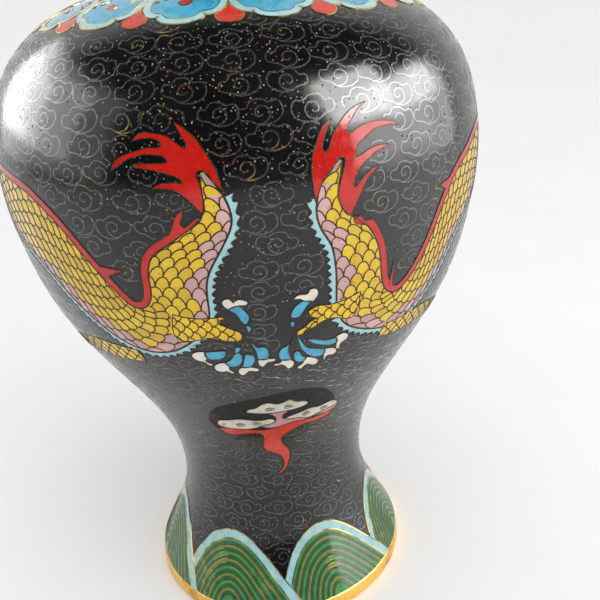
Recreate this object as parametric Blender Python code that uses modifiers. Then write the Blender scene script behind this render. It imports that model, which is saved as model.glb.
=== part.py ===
"""Cloisonne baluster vase, 230 mm tall: copper body, enamel cells and gilt rims.

Standalone Blender 4.5 script. Inside it lengths are millimetres and angles degrees, and each
finished mesh is scaled to metres. The vase stands on Z = 0 and turns about +Z. A place on its
skin is (phi, z): phi is the angle round the vase, 0 facing -Y and growing towards +X.

Every shell has the same facets, SEGMENTS round the vase and one band between two rings, so
layers at different depths stay parallel. An enamel cell is drawn as a flat outline in the
unrolled skin, extruded, cut by the cells that lie over it, and then wrapped on the facets.
"""
import math

import bmesh
import bpy
import numpy as np

# ---------------------------------------------------------------- driving dimensions (mm)
HEIGHT = 230.0
FOOT_RIM_HEIGHT = 5.0
MOUTH_RIM_HEIGHT = 3.0
ENAMEL = 1.0            # thickness of the outer enamel
COPPER = 1.0            # thickness of the copper body
LINING = 0.6            # thickness of the counter-enamel, inside and underneath
GAP = 0.3               # clearance between touching solids
CELL_GAP = 0.45         # clearance between two enamel cells, the place of their wire
SEGMENTS = 24           # facets round the vase
MM = 0.001              # metres in a millimetre
SNAP = 0.002            # corners closer than this count as one
NEARLY_STRAIGHT = math.radians(0.5)

# Outer skin as (height, radius): a cubic spline runs through these points.
PROFILE = [
    (5, 43.2), (15, 38.0), (27.5, 32.6), (41.5, 31.0), (57, 33.7), (74.5, 41.6), (92, 52.1),
    (109.5, 61.0), (127, 66.0), (144, 68.0), (158, 66.9), (170.5, 62.6), (179, 55.6),
    (184.2, 48.0), (187.6, 40.0), (190, 32), (193, 24.6), (198, 20.2), (206, 18.5),
    (215, 19.6), (222.5, 23.3), (227, 27.5),
]
SKIN_BOTTOM = FOOT_RIM_HEIGHT
SKIN_TOP = HEIGHT - MOUTH_RIM_HEIGHT
RING_HEIGHTS = [
    SKIN_BOTTOM, 12, 24, 41, 60, 80, 98, 114, 129, 143, 156, 167, 175.5, 182, 188, 193.5, 199,
    207, 217, SKIN_TOP,
]
COPPER_DEPTH = ENAMEL + GAP
LINING_DEPTH = COPPER_DEPTH + COPPER + GAP

# Where the copper sections are soldered together, and where the two black grounds meet.
NECK_BASE = 193.5
COPPER_JOINTS = {"copper_foot": (SKIN_BOTTOM, 41), "copper_belly": (41, 143),
                 "copper_shoulder": (143, NECK_BASE), "copper_neck": (NECK_BASE, SKIN_TOP)}
BODY_RADIUS = 60.0      # radius at which the body's unrolled skin has its true width
NECK_RADIUS = 21.0      # the same for the neck

BASE_PLATE_BOTTOM = 8.0
BASE_PLATE_THICKNESS = 1.2

# ---------------------------------------------------------------- colours
ENAMEL_ROUGHNESS = 0.15
FINISHES = {
    "black": ((0.012, 0.012, 0.014), ENAMEL_ROUGHNESS, 0.0),
    "yellow": ((0.72, 0.46, 0.04), ENAMEL_ROUGHNESS, 0.0),
    "red": ((0.60, 0.05, 0.03), ENAMEL_ROUGHNESS, 0.0),
    "turquoise": ((0.03, 0.33, 0.48), ENAMEL_ROUGHNESS, 0.0),
    "pale_blue": ((0.45, 0.70, 0.76), ENAMEL_ROUGHNESS, 0.0),
    "lilac": ((0.48, 0.33, 0.42), ENAMEL_ROUGHNESS, 0.0),
    "white": ((0.80, 0.79, 0.76), ENAMEL_ROUGHNESS, 0.0),
    "green": ((0.08, 0.25, 0.12), ENAMEL_ROUGHNESS, 0.0),
    "lining_blue": ((0.05, 0.30, 0.38), 0.25, 0.0),
    "copper": ((0.60, 0.28, 0.16), 0.40, 1.0),
    "gilt": ((0.83, 0.56, 0.17), 0.30, 1.0),
}

# ---------------------------------------------------------------- motifs, as (phi, z) points
COLLAR_HEADS = 15
COLLAR_PITCH = 360 / COLLAR_HEADS
COLLAR_TOP = 188.0
COLLAR_BORDER = 1.9
COLLAR_CUSP = 184.6     # height between two heads
# The three lobes of a head: (phi from its middle, lowest height), their half-width and depth.
COLLAR_LOBES = [(-7.6, 182.2), (0, 181.0), (7.6, 182.2)]
LOBE_HALF_WIDTH = 4.0
LOBE_DEPTH = 2.2
LOBE_SHARES = (-0.8, -0.3, 0.3, 0.8)    # where a lobe's corners lie across its half-width
SEAM_OVERLAP = 25       # a flat ring is drawn this much past half a turn, then cut to it
WAVES = 7
WAVE_PITCH = 360 / WAVES
WAVE_HALF_WIDTH = 29.0
WAVE_RISE = 22.0
WAVE_BORDER = 2.5
WAVE_POINTS = 14         # points along one wave arch
RIDGE_WIDTH = 1.8
FRINGE_WIDTH = 4.0
LAPPETS = 12
LAPPET_TOP = 225.5
LAPPET_BOTTOM = 217.5
LAPPET_NOTCH = 221.0
LAPPET_ROUND = 0.9      # how much of a lappet's depth its round end takes up

# Rims: radial width, how far the mouth rim overhangs, corner rounds, and the foot's flare.
FOOT_RIM_WIDTH = 5.0
FOOT_RIM_ROUND = 0.8
FOOT_RIM_FLARE = 0.6
MOUTH_RIM_WIDTH = 4.8
MOUTH_RIM_OVERHANG = 0.8
MOUTH_RIM_ROUND = 1.2

# The back ridge and the belly line of each dragon, from the tail round to the neck.
LEFT_RIDGE = [
    (-9, 146), (-14, 140), (-18, 137), (-20.5, 133), (-21.2, 127), (-23, 122.3), (-25.5, 121.5),
    (-28, 123), (-33, 131), (-37, 137), (-41, 142), (-46, 146), (-53, 149), (-61, 150.5),
]
LEFT_TAIL_BELLY = [
    (-7.8, 153), (-4.5, 149), (-3.4, 145), (-4, 141.5), (-7, 135), (-9.6, 129), (-10.3, 121),
]
LEFT_BELLY = [
    (-15.5, 112), (-18, 110), (-22, 108.3), (-28, 107.8), (-35, 110.5), (-40, 115),
    (-45, 120.5), (-50, 127), (-55, 131), (-61, 134),
]
RIGHT_RIDGE = [
    (19, 142), (22, 138), (24.5, 134), (26.2, 128), (27.3, 122), (29, 118.5), (31.5, 117.3),
    (34.5, 118.3), (38, 122.5), (41, 129), (44, 137), (48, 142.5), (53, 146.5), (61, 149.5),
]
RIGHT_TAIL_BELLY = [
    (17.5, 153), (14, 149), (12.6, 146), (12.3, 142), (14, 137), (15.8, 130), (16.3, 121),
]
RIGHT_BELLY = [
    (20, 111.5), (24, 109), (28, 107), (33, 106.5), (38, 107.8), (43, 111.5), (48, 120),
    (53, 128), (61, 134),
]
# Their front halves on the far side, drawn for the left dragon and mirrored for the right one.
NECK_RIDGE = [(-72, 151), (-85, 149), (-97, 143.5), (-106, 140), (-115, 140.5), (-124, 145),
              (-131, 151), (-138, 156.5)]
NECK_BELLY = [(-71, 135), (-82, 133), (-93, 127.5), (-104, 123), (-117, 122.5), (-129, 127.5),
              (-139, 135), (-146, 141.5)]
HEAD = [
    (-139, 157.5), (-144, 160.5), (-150, 160.5), (-154, 157.5), (-160, 156.5), (-165, 157.8),
    (-168, 155), (-168, 151.5), (-162, 149.8), (-156, 148.3), (-160, 146), (-165, 144.6),
    (-165.5, 141.8), (-160, 140), (-152, 139.5), (-147, 141.5),
]
MANE = [
    (-137.5, 158.5), (-141.5, 161.5), (-137, 166), (-130, 168.5), (-133, 164), (-126, 163.5),
    (-130.5, 160.5), (-124, 158), (-131, 156.5),
]
HORN = [(-146, 162.5), (-149.5, 162.3), (-148, 167.5), (-141, 173), (-143.5, 168)]
FRONT_LEG = [(-33, 104.5), (-45, 103.8), (-57, 101.5), (-70, 97.5), (-83, 92)]
FRONT_LEG_WIDTH = 5.0

LEFT_FLAME = [
    (-4.3, 150.5), (-4.9, 154), (-6.5, 157.5), (-8.5, 161.5), (-12, 164.5), (-10.4, 160.3),
    (-13.5, 160.2), (-19.8, 161.3), (-14.2, 157.2), (-18, 156.4), (-24.8, 155), (-17, 154),
    (-14, 152.8), (-17, 151), (-11.2, 151.2), (-9.6, 146.5), (-8.3, 149), (-8.6, 153.4),
    (-7.2, 154.4), (-6, 152.6),
]
RIGHT_FLAME = [
    (11.3, 146.5), (11.7, 150), (12.5, 155), (14, 159), (16, 161.5), (15, 157.4), (19, 159.8),
    (23.5, 164), (20.5, 158), (25, 158.6), (30.5, 158.8), (23.5, 155.2), (27.5, 154.8),
    (20.5, 151.2), (25, 150.7), (20, 146.5), (18.9, 142.6), (18, 146), (18.4, 153.8),
    (17, 154.6), (13.6, 151.5), (12.4, 148.2),
]
LEFT_HIND_LEG = [
    (-16.5, 119.8), (-12.5, 118.9), (-7.5, 119.6), (-8.2, 117.5), (-6.4, 115.9), (-4.4, 114.6),
    (-4.1, 112.6), (-6, 111.4), (-9, 110.7), (-15.5, 111.2),
]
RIGHT_HIND_LEG = [
    (21, 120.5), (17, 119.6), (10.5, 119), (12, 116.8), (9.8, 115.4), (7.9, 114.2),
    (7.8, 112.2), (10, 111.3), (13, 111), (19.5, 112.2),
]
CLOUD_RED = [
    (-20, 74), (-18, 71), (-11, 69.6), (-4.5, 69.8), (-4.8, 66), (-2, 62.5), (3, 60.5),
    (5.5, 58), (3.5, 54.5), (1.5, 50.5), (4, 50.5), (7.5, 54), (9.5, 58.5), (8, 62.5), (4, 65),
    (5, 68), (9, 70.4), (16, 70.8), (23, 72), (26.5, 74.8), (14, 73.8), (3, 72.8), (-6, 73),
]
CLOUD_WHITE = [
    [(-21, 76.5), (-17, 75), (-8, 74.2), (2, 74.2), (0, 76.6), (-5, 77), (-9, 78.8), (-15, 79.2),
     (-19.5, 78.8)],
    [(6, 74.4), (13, 75), (20, 75.8), (27, 76.8), (25, 79.4), (20, 80), (14, 79.2), (9, 78.4),
     (7.5, 76.4)],
    [(-8, 82), (-2, 80.6), (4, 80.4), (12.5, 81.6), (12, 83.8), (7, 85), (2.5, 85.6), (-3, 85),
     (-7, 84.4)],
]
CLOUD_LILAC = [(-8, 77), (0, 77.8), (6, 77.2), (11, 79.6), (4, 79.6), (-3, 79.8), (-9, 80.8)]
PEARL_CENTRE = (180, 146)
PEARL_RADIUS = 5.0
PEARL_FLAME = [(174, 153), (180, 154), (186, 153), (184, 158), (187, 163), (181, 160),
               (178, 167), (176, 160), (171, 162), (174.5, 157)]


# ---------------------------------------------------------------- the faceted skin
def spline_profile(steps_per_span=24):
    """Dense (height, radius) samples of the natural cubic spline through PROFILE."""
    points = np.array(PROFILE, float)
    spans = np.hypot(*np.diff(points, axis=0).T)
    size = len(points)
    matrix = np.eye(size)
    right_side = np.zeros((size, 2))
    for i in range(1, size - 1):
        before, after = spans[i - 1], spans[i]
        matrix[i, i - 1:i + 2] = before, 2 * (before + after), after
        right_side[i] = 6 * ((points[i + 1] - points[i]) / after
                             - (points[i] - points[i - 1]) / before)
    bend = np.linalg.solve(matrix, right_side)
    samples = []
    for i, span in enumerate(spans):
        for step in range(steps_per_span):
            far = step / steps_per_span
            near = 1 - far
            samples.append(near * points[i] + far * points[i + 1] + span ** 2 / 6 * (
                (near ** 3 - near) * bend[i] + (far ** 3 - far) * bend[i + 1]))
    samples.append(points[-1])
    return np.array(samples)


SKIN = spline_profile()


def skin_radius(height):
    return float(np.interp(height, SKIN[:, 0], SKIN[:, 1]))


def ring_normals(heights):
    """Outward normals (radial, vertical) of the skin; level at its two ends."""
    normals = []
    for height in heights:
        slope = (skin_radius(height + 0.5) - skin_radius(height - 0.5)) / 1.0
        length = math.hypot(1, slope)
        normals.append((1 / length, -slope / length))
    normals[0] = normals[-1] = (1.0, 0.0)
    return np.array(normals)


RINGS = np.array([(skin_radius(z), z) for z in RING_HEIGHTS])
RING_NORMALS = ring_normals(RING_HEIGHTS)
RING_PLACES = np.concatenate([[0], np.cumsum(np.hypot(*np.diff(RINGS, axis=0).T))])
SEGMENT_ANGLE = 360 / SEGMENTS


def place_along_skin(height):
    """Distance along the faceted skin from its lower end to a height."""
    return float(np.interp(height, RINGS[:, 1], RING_PLACES))


def layer_point(place, depth):
    """(radius, height) at a distance along the skin and a depth under it."""
    layer = RINGS - RING_NORMALS * depth
    return (float(np.interp(place, RING_PLACES, layer[:, 0])),
            float(np.interp(place, RING_PLACES, layer[:, 1])))


def layer_at(height, depth):
    """(place along the skin, radius) of a layer where it crosses a height."""
    layer = RINGS - RING_NORMALS * depth
    return (float(np.interp(height, layer[:, 1], RING_PLACES)),
            float(np.interp(height, layer[:, 1], layer[:, 0])))


def wrapped_point(phi, place, depth):
    """A point of the unrolled skin, put on the facets, in metres."""
    radius, height = layer_point(place, depth)
    first = math.floor(phi / SEGMENT_ANGLE)
    share = phi / SEGMENT_ANGLE - first
    x = y = 0.0
    for corner, weight in ((first, 1 - share), (first + 1, share)):
        angle = math.radians(corner * SEGMENT_ANGLE)
        x += weight * radius * math.sin(angle)
        y -= weight * radius * math.cos(angle)
    return x * MM, y * MM, height * MM


# ---------------------------------------------------------------- Blender helpers
def clear_scene():
    for existing in list(bpy.data.objects):
        bpy.data.objects.remove(existing, do_unlink=True)


def finish_material(name):
    """One Principled material for each object, from the colour table."""
    colour, roughness, metallic = FINISHES[name]
    material = bpy.data.materials.new(name)
    material.use_nodes = True
    shader = material.node_tree.nodes["Principled BSDF"]
    shader.inputs["Base Color"].default_value = (*colour, 1.0)
    shader.inputs["Roughness"].default_value = roughness
    shader.inputs["Metallic"].default_value = metallic
    material.diffuse_color = (*colour, 1.0)
    return material


def add_object(name, mesh, finish, collection):
    piece = bpy.data.objects.new(name, mesh)
    collection.objects.link(piece)
    mesh.materials.clear()
    mesh.materials.append(finish_material(finish))
    return piece


def turned(name, outline, finish, collection):
    """A closed (radius, height) outline, down its outer side and up its inner one, lathed."""
    mesh = bpy.data.meshes.new(name)
    corners = [(radius * MM, 0.0, height * MM) for radius, height in outline]
    count = len(corners)
    mesh.from_pydata(corners, [(i, (i + 1) % count) for i in range(count)], [])
    piece = add_object(name, mesh, finish, collection)
    screw = piece.modifiers.new("lathe", "SCREW")
    screw.axis = "Z"
    screw.angle = 2 * math.pi
    screw.steps = screw.render_steps = SEGMENTS
    screw.use_merge_vertices = True
    screw.merge_threshold = 0.00001
    return piece


def shell_outline(bottom, top, depth, thickness):
    """Outline of a shell between two places on the skin."""
    places = [place for place in RING_PLACES if bottom + GAP < place < top - GAP]
    places = [bottom, *places, top]
    outer = [layer_point(place, depth) for place in reversed(places)]
    inner = [layer_point(place, depth + thickness) for place in places]
    return outer + inner


def rounded_box(radius_in, radius_out, low, high, round_, lean=0.0, arc_steps=2):
    """Outline of a ring's section with rounded corners; lean widens its lower edge."""
    corners = [(radius_out, high, 0), (radius_out + lean, low, -90),
               (radius_in, low, -180), (radius_in, high, -270)]
    outline = []
    for radius, height, start in corners:
        side = -1 if radius >= radius_out else 1
        rise = -1 if height == high else 1
        centre = (radius + side * round_, height + rise * round_)
        for step in range(arc_steps + 1):
            angle = math.radians(start + 90 - 90 * step / arc_steps)
            outline.append((centre[0] + round_ * math.cos(angle),
                            centre[1] + round_ * math.sin(angle)))
    return outline


# ---------------------------------------------------------------- flat outlines
def unrolled(points, radius):
    """(phi, z) points on the unrolled skin, in mm."""
    return [(math.radians(phi) * radius, place_along_skin(z)) for phi, z in points]


def mirrored(points):
    return [(-phi, z) for phi, z in points]


def signed_area(outline):
    following = outline[1:] + outline[:1]
    return sum(a[0] * b[1] - b[0] * a[1] for a, b in zip(outline, following)) / 2


def grown(outline, distance, longest=2.5):
    """A closed outline moved outwards by a distance, its sharp tips cut short."""
    if signed_area(outline) < 0:
        outline = outline[::-1]
    moved = []
    for before, here, after in zip(outline[-1:] + outline[:-1], outline, outline[1:] + outline[:1]):
        into = np.subtract(here, before) / math.dist(here, before)
        out = np.subtract(after, here) / math.dist(after, here)
        normal = np.array([into[1] + out[1], -into[0] - out[0]])
        normal = normal / max(np.hypot(*normal), 1e-6)
        reach = min(1 / max(normal @ np.array([into[1], -into[0]]), 1e-3), longest)
        moved.append(tuple(np.array(here) + normal * distance * reach))
    return moved


def strip(path, width):
    """A band of even width along an open path."""
    left, right = [], []
    for i, here in enumerate(path):
        before, after = path[max(i - 1, 0)], path[min(i + 1, len(path) - 1)]
        along = np.subtract(after, before) / math.dist(after, before)
        across = np.array([-along[1], along[0]]) * width / 2
        left.append(tuple(np.array(here) + across))
        right.append(tuple(np.array(here) - across))
    return left + right[::-1]


def circle(centre, radius, corners=12):
    return [(centre[0] + radius * math.cos(2 * math.pi * i / corners),
             centre[1] + radius * math.sin(2 * math.pi * i / corners)) for i in range(corners)]


def flat_slab(outlines, low, high):
    """A temporary object: closed flat outlines, filled and extruded from low to high."""
    curve = bpy.data.curves.new("outline", "CURVE")
    curve.dimensions = "2D"
    curve.fill_mode = "BOTH"
    curve.extrude = (high - low) / 2
    for outline in outlines:
        spline = curve.splines.new("POLY")
        spline.points.add(len(outline) - 1)
        for point, (x, y) in zip(spline.points, outline):
            point.co = (x, y, 0, 1)
        spline.use_cyclic_u = True
    drawing = bpy.data.objects.new("outline", curve)
    bpy.context.scene.collection.objects.link(drawing)
    evaluated = drawing.evaluated_get(bpy.context.evaluated_depsgraph_get())
    mesh = bpy.data.meshes.new_from_object(evaluated)
    bpy.data.objects.remove(drawing, do_unlink=True)
    bm = bmesh.new()
    bm.from_mesh(mesh)
    bmesh.ops.remove_doubles(bm, verts=bm.verts, dist=0.0001)
    bmesh.ops.recalc_face_normals(bm, faces=bm.faces)
    bmesh.ops.translate(bm, verts=bm.verts, vec=(0, 0, (high + low) / 2))
    bm.to_mesh(mesh)
    bm.free()
    slab = bpy.data.objects.new("slab", mesh)
    bpy.context.scene.collection.objects.link(slab)
    return slab


def cut_slab(slab, cutter):
    """Take the cutter's shape out of the slab; MANIFOLD keeps these thin bands closed."""
    boolean = slab.modifiers.new("cut", "BOOLEAN")
    boolean.operation = "DIFFERENCE"
    boolean.solver = "MANIFOLD"
    boolean.object = cutter
    evaluated = slab.evaluated_get(bpy.context.evaluated_depsgraph_get())
    mesh = bpy.data.meshes.new_from_object(evaluated)
    slab.modifiers.clear()
    slab.data = mesh


def cut_slab_by(slab, outlines, grow=CELL_GAP):
    """Take grown outlines out of a slab, one by one because they may overlap each other."""
    for outline in outlines:
        cutter = flat_slab([grown(outline, grow)], -2 * ENAMEL, 3 * ENAMEL)
        cut_slab(slab, cutter)
        bpy.data.objects.remove(cutter, do_unlink=True)


def drop_chips(bm):
    """Keep only the largest body; smaller ones are chips that a neighbour has cut off."""
    bodies = []
    waiting = set(bm.verts)
    while waiting:
        body = {waiting.pop()}
        edge = list(body)
        while edge:
            vertex = edge.pop()
            found = {link.other_vert(vertex) for link in vertex.link_edges} - body
            body |= found
            edge += found
        waiting -= body
        bodies.append(body)
    bodies.sort(key=len)
    for chip in bodies[:-1]:
        bmesh.ops.delete(bm, geom=list(chip), context="VERTS")


def wrap_slab(slab, radius, closed=False):
    """Split a flat slab along the facets and bend it on the vase; closed joins its two ends."""
    bm = bmesh.new()
    bm.from_mesh(slab.data)
    bpy.data.objects.remove(slab, do_unlink=True)
    bmesh.ops.dissolve_limit(bm, angle_limit=NEARLY_STRAIGHT, verts=bm.verts, edges=bm.edges)
    width = math.radians(SEGMENT_ANGLE) * radius
    span = [vertex.co.x for vertex in bm.verts]
    half_turn = math.pi * radius
    if closed:
        for side in (-1, 1):
            bmesh.ops.bisect_plane(bm, geom=bm.verts[:] + bm.edges[:] + bm.faces[:], dist=SNAP,
                                   plane_co=(side * half_turn, 0, 0), plane_no=(side, 0, 0),
                                   clear_outer=True)
    for line in range(math.floor(min(span) / width), math.ceil(max(span) / width) + 1):
        bmesh.ops.bisect_plane(bm, geom=bm.verts[:] + bm.edges[:] + bm.faces[:], dist=SNAP,
                               plane_co=(line * width, 0, 0), plane_no=(1, 0, 0))
    for place in RING_PLACES:
        bmesh.ops.bisect_plane(bm, geom=bm.verts[:] + bm.edges[:] + bm.faces[:], dist=SNAP,
                               plane_co=(0, place, 0), plane_no=(0, 1, 0))
    for vertex in bm.verts:
        x, place, height = vertex.co
        vertex.co = wrapped_point(math.degrees(x / radius), place, ENAMEL - height)
    bmesh.ops.remove_doubles(bm, verts=bm.verts, dist=SNAP * MM)
    bmesh.ops.triangulate(bm, faces=bm.faces)
    slits = [edge for edge in bm.edges if edge.is_boundary]
    bmesh.ops.holes_fill(bm, edges=slits, sides=4)
    drop_chips(bm)
    mesh = bpy.data.meshes.new("cell")
    bm.to_mesh(mesh)
    bm.free()
    return mesh


# ---------------------------------------------------------------- metal and linings
def build_metal(collection):
    for name, (bottom, top) in COPPER_JOINTS.items():
        low = place_along_skin(bottom) + GAP / 2
        high = place_along_skin(top) - GAP / 2
        turned(name, shell_outline(low, high, COPPER_DEPTH, COPPER), "copper", collection)
    foot_radius = skin_radius(SKIN_BOTTOM)
    foot = rounded_box(foot_radius - FOOT_RIM_WIDTH, foot_radius, 0, FOOT_RIM_HEIGHT - GAP / 2,
                       FOOT_RIM_ROUND, FOOT_RIM_FLARE)
    turned("foot_rim", foot, "gilt", collection)
    mouth_radius = skin_radius(SKIN_TOP) + MOUTH_RIM_OVERHANG
    mouth = rounded_box(mouth_radius - MOUTH_RIM_WIDTH, mouth_radius, SKIN_TOP + GAP / 2, HEIGHT,
                        MOUTH_RIM_ROUND)
    turned("mouth_rim", mouth, "gilt", collection)
    disc_radius = layer_at(BASE_PLATE_BOTTOM + BASE_PLATE_THICKNESS,
                           COPPER_DEPTH + COPPER)[1] - GAP
    disc("base_plate", disc_radius, BASE_PLATE_BOTTOM, BASE_PLATE_THICKNESS, "copper", collection)
    disc("base_enamel", disc_radius, BASE_PLATE_BOTTOM - GAP - LINING, LINING, "lining_blue",
         collection)


def disc(name, radius, bottom, thickness, finish, collection):
    mesh = bpy.data.meshes.new(name)
    bm = bmesh.new()
    bmesh.ops.create_cone(bm, cap_ends=True, segments=SEGMENTS, radius1=radius * MM,
                          radius2=radius * MM, depth=thickness * MM)
    bm.to_mesh(mesh)
    bm.free()
    piece = add_object(name, mesh, finish, collection)
    piece.location.z = (bottom + thickness / 2) * MM
    return piece


def build_lining(collection):
    floor = BASE_PLATE_BOTTOM + BASE_PLATE_THICKNESS + GAP
    low = layer_at(floor, LINING_DEPTH)[0]
    high = place_along_skin(SKIN_TOP) - GAP / 2
    outer_and_inner = shell_outline(low, high, LINING_DEPTH, LINING)
    half = len(outer_and_inner) // 2
    outer, inner = outer_and_inner[:half], outer_and_inner[half:]
    inner[0] = (inner[0][0], outer[-1][1] + LINING)
    outline = outer + [(0.0, outer[-1][1]), (0.0, inner[0][1])] + inner
    turned("interior_enamel", outline, "lining_blue", collection)


# ---------------------------------------------------------------- enamel cells
def flat(points):
    return unrolled(points, BODY_RADIUS)


def wave_arch(centre, inset):
    """Points of one wave arch over the foot rim, right foot to left foot."""
    half_width = WAVE_HALF_WIDTH - math.degrees(inset / skin_radius(15))
    low = SKIN_BOTTOM + GAP / 2
    turns = [math.pi * i / WAVE_POINTS for i in range(WAVE_POINTS + 1)]
    return [(centre + half_width * math.cos(turn), low + (WAVE_RISE - inset) * math.sin(turn))
            for turn in turns]


def wave_skyline():
    """The upper outline of all the arches, one after the other, closed under the foot rim."""
    points = []
    count = WAVES + 2
    for i in range(count):
        centre = WAVE_PITCH * (i + 0.5 - count // 2)
        points += [point for point in reversed(wave_arch(centre, 0))
                   if abs(point[0] - centre) < WAVE_PITCH / 2]
    low = SKIN_BOTTOM + GAP / 2
    return [(points[0][0], low), *points, (points[-1][0], low)]


def build_waves(collection):
    """Seven arches round the foot; each passes in front of its right-hand neighbour."""
    skyline = flat(wave_skyline())
    border = flat_slab([skyline], 0, ENAMEL)
    for i in range(-1, WAVES + 1):
        centre = WAVE_PITCH * (i + 0.5 - WAVES // 2)
        field = flat(wave_arch(centre, WAVE_BORDER))
        neighbour = flat(wave_arch(centre - WAVE_PITCH, 0))
        pocket = flat_slab([field], -ENAMEL, 2 * ENAMEL)
        cut_slab_by(pocket, [neighbour], grow=0)
        cut_slab(border, pocket)
        bpy.data.objects.remove(pocket, do_unlink=True)
        if 0 <= i < WAVES:
            green = flat_slab([grown(field, -CELL_GAP)], 0, ENAMEL)
            cut_slab_by(green, [neighbour])
            add_object(f"wave_field_{i + 1}", wrap_slab(green, BODY_RADIUS), "green", collection)
    add_object("wave_border", wrap_slab(border, BODY_RADIUS, closed=True), "pale_blue",
               collection)
    return skyline


def collar_edge(lift):
    """The scalloped lower edge of the whole collar: three round lobes to a head."""
    points = []
    half = COLLAR_HEADS // 2 + 2
    for head in range(-half, half):
        centre = COLLAR_PITCH * (head + 0.5)
        points.append((centre - COLLAR_PITCH / 2, COLLAR_CUSP + lift))
        for lobe, low in COLLAR_LOBES:
            for share in LOBE_SHARES:
                points.append((centre + lobe + LOBE_HALF_WIDTH * share,
                               low + lift + LOBE_DEPTH * share ** 2))
    return points


def collar_cells():
    lower = collar_edge(0)
    upper = collar_edge(COLLAR_BORDER)
    edge = upper[-1][0]
    band_top = NECK_BASE - GAP / 2
    return [
        ("collar_band", "red", flat([(-edge, COLLAR_TOP), (edge, COLLAR_TOP), (edge, band_top),
                                     (-edge, band_top)])),
        ("collar_heads", "turquoise", flat([*upper, (edge, COLLAR_TOP),
                                            (upper[0][0], COLLAR_TOP)])),
        ("collar_border", "pale_blue", flat(lower + upper[::-1])),
    ]


def lappet_ring():
    """Outline of the band of lappets under the mouth rim."""
    pitch = 360 / LAPPETS
    points = []
    half = LAPPETS // 2 + 1
    for i in range(-half, half):
        centre = pitch * (i + 0.5)
        points.append((centre - pitch / 2, LAPPET_NOTCH))
        for share in LOBE_SHARES:
            rise = LAPPET_ROUND * share ** 2
            low = LAPPET_BOTTOM + (LAPPET_NOTCH - LAPPET_BOTTOM) * rise
            points.append((centre + pitch / 2 * share, low))
    return [*points, (points[-1][0], LAPPET_TOP), (points[0][0], LAPPET_TOP)]


def dragon_cells(side, ridge, tail_belly, belly, flame, hind_leg):
    """Cells of one dragon, the uppermost first: name, finish and flat outline."""
    turn = mirrored if side == "right" else list
    ridge = flat(ridge + turn(NECK_RIDGE))
    tail_belly = flat(tail_belly)
    belly = flat(belly + turn(NECK_BELLY))
    cells = [
        ("hind_leg", "yellow", flat(hind_leg)),
        ("front_leg", "yellow", strip(flat(turn(FRONT_LEG)), FRONT_LEG_WIDTH)),
        ("tail_flame", "red", flat(flame)),
        ("head", "yellow", flat(turn(HEAD))),
        ("mane", "red", flat(turn(MANE))),
        ("horn", "pale_blue", flat(turn(HORN))),
        ("ridge", "red", strip(ridge, RIDGE_WIDTH)),
        ("body", "yellow", ridge + belly[::-1] + tail_belly[::-1]),
        ("tail_fringe", "pale_blue", strip(tail_belly[1:], FRINGE_WIDTH)),
        ("belly_fringe", "pale_blue", strip(belly, FRINGE_WIDTH)),
    ]
    return [(f"dragon_{side}_{name}", finish, outline) for name, finish, outline in cells]


def painted_cells():
    """The cells that don't run right round the vase, the uppermost first."""
    cells = dragon_cells("left", LEFT_RIDGE, LEFT_TAIL_BELLY, LEFT_BELLY, LEFT_FLAME,
                         LEFT_HIND_LEG)
    cells += dragon_cells("right", RIGHT_RIDGE, RIGHT_TAIL_BELLY, RIGHT_BELLY, RIGHT_FLAME,
                          RIGHT_HIND_LEG)
    cells += [
        ("pearl", "white", circle(flat([PEARL_CENTRE])[0], PEARL_RADIUS)),
        ("pearl_flame", "red", flat(PEARL_FLAME)),
    ]
    for side, outline in zip(("left", "right", "top"), CLOUD_WHITE):
        cells.append((f"waist_cloud_{side}", "white", flat(outline)))
    cells += [
        ("waist_cloud_middle", "lilac", flat(CLOUD_LILAC)),
        ("waist_cloud_tail", "red", flat(CLOUD_RED)),
    ]
    return cells


def near(outline, other):
    """Whether two outlines' boxes touch, with room for the gap between them."""
    a, b = np.array(outline), np.array(other)
    return bool(np.all(a.min(axis=0) - 2 * CELL_GAP < b.max(axis=0))
                and np.all(b.min(axis=0) - 2 * CELL_GAP < a.max(axis=0)))


def build_cells(cells, collection, closed=False):
    """Make the cells from the uppermost down; each gives way to those already made."""
    laid = []
    for name, finish, outline in cells:
        slab = flat_slab([outline], 0, ENAMEL)
        cut_slab_by(slab, [other for other in laid if near(outline, other)])
        add_object(name, wrap_slab(slab, BODY_RADIUS, closed), finish, collection)
        laid.append(outline)
    return laid


def build_ground(name, bottom, top, radius, pockets, collection):
    """The black ground: a ring of skin with a pocket for each cell that lies over it."""
    end = 180 + SEAM_OVERLAP
    corners = [(-end, bottom), (end, bottom), (end, top), (-end, top)]
    slab = flat_slab([unrolled(corners, radius)], 0, ENAMEL)
    turn = 2 * math.pi * radius
    for outline in pockets:
        for shift in (-turn, 0, turn):
            moved = [(x + shift, y) for x, y in outline]
            if min(x for x, y in moved) < turn / 2 and max(x for x, y in moved) > -turn / 2:
                cut_slab_by(slab, [moved])
    add_object(name, wrap_slab(slab, radius, closed=True), "black", collection)


def main():
    clear_scene()
    collection = bpy.data.collections.new("cloisonne_vase")
    bpy.context.scene.collection.children.link(collection)
    build_metal(collection)
    build_lining(collection)
    skyline = build_waves(collection)
    collar = build_cells(collar_cells(), collection, closed=True)
    painted = build_cells(painted_cells(), collection)
    build_ground("ground_enamel_body", SKIN_BOTTOM + GAP / 2, COLLAR_TOP, BODY_RADIUS,
                 [skyline, *collar, *painted], collection)
    lappets = unrolled(lappet_ring(), NECK_RADIUS)
    add_object("neck_lappets", wrap_slab(flat_slab([lappets], 0, ENAMEL), NECK_RADIUS, True),
               "turquoise", collection)
    build_ground("ground_enamel_neck", NECK_BASE + GAP / 2, SKIN_TOP - GAP / 2, NECK_RADIUS,
                 [lappets], collection)


main()
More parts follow.
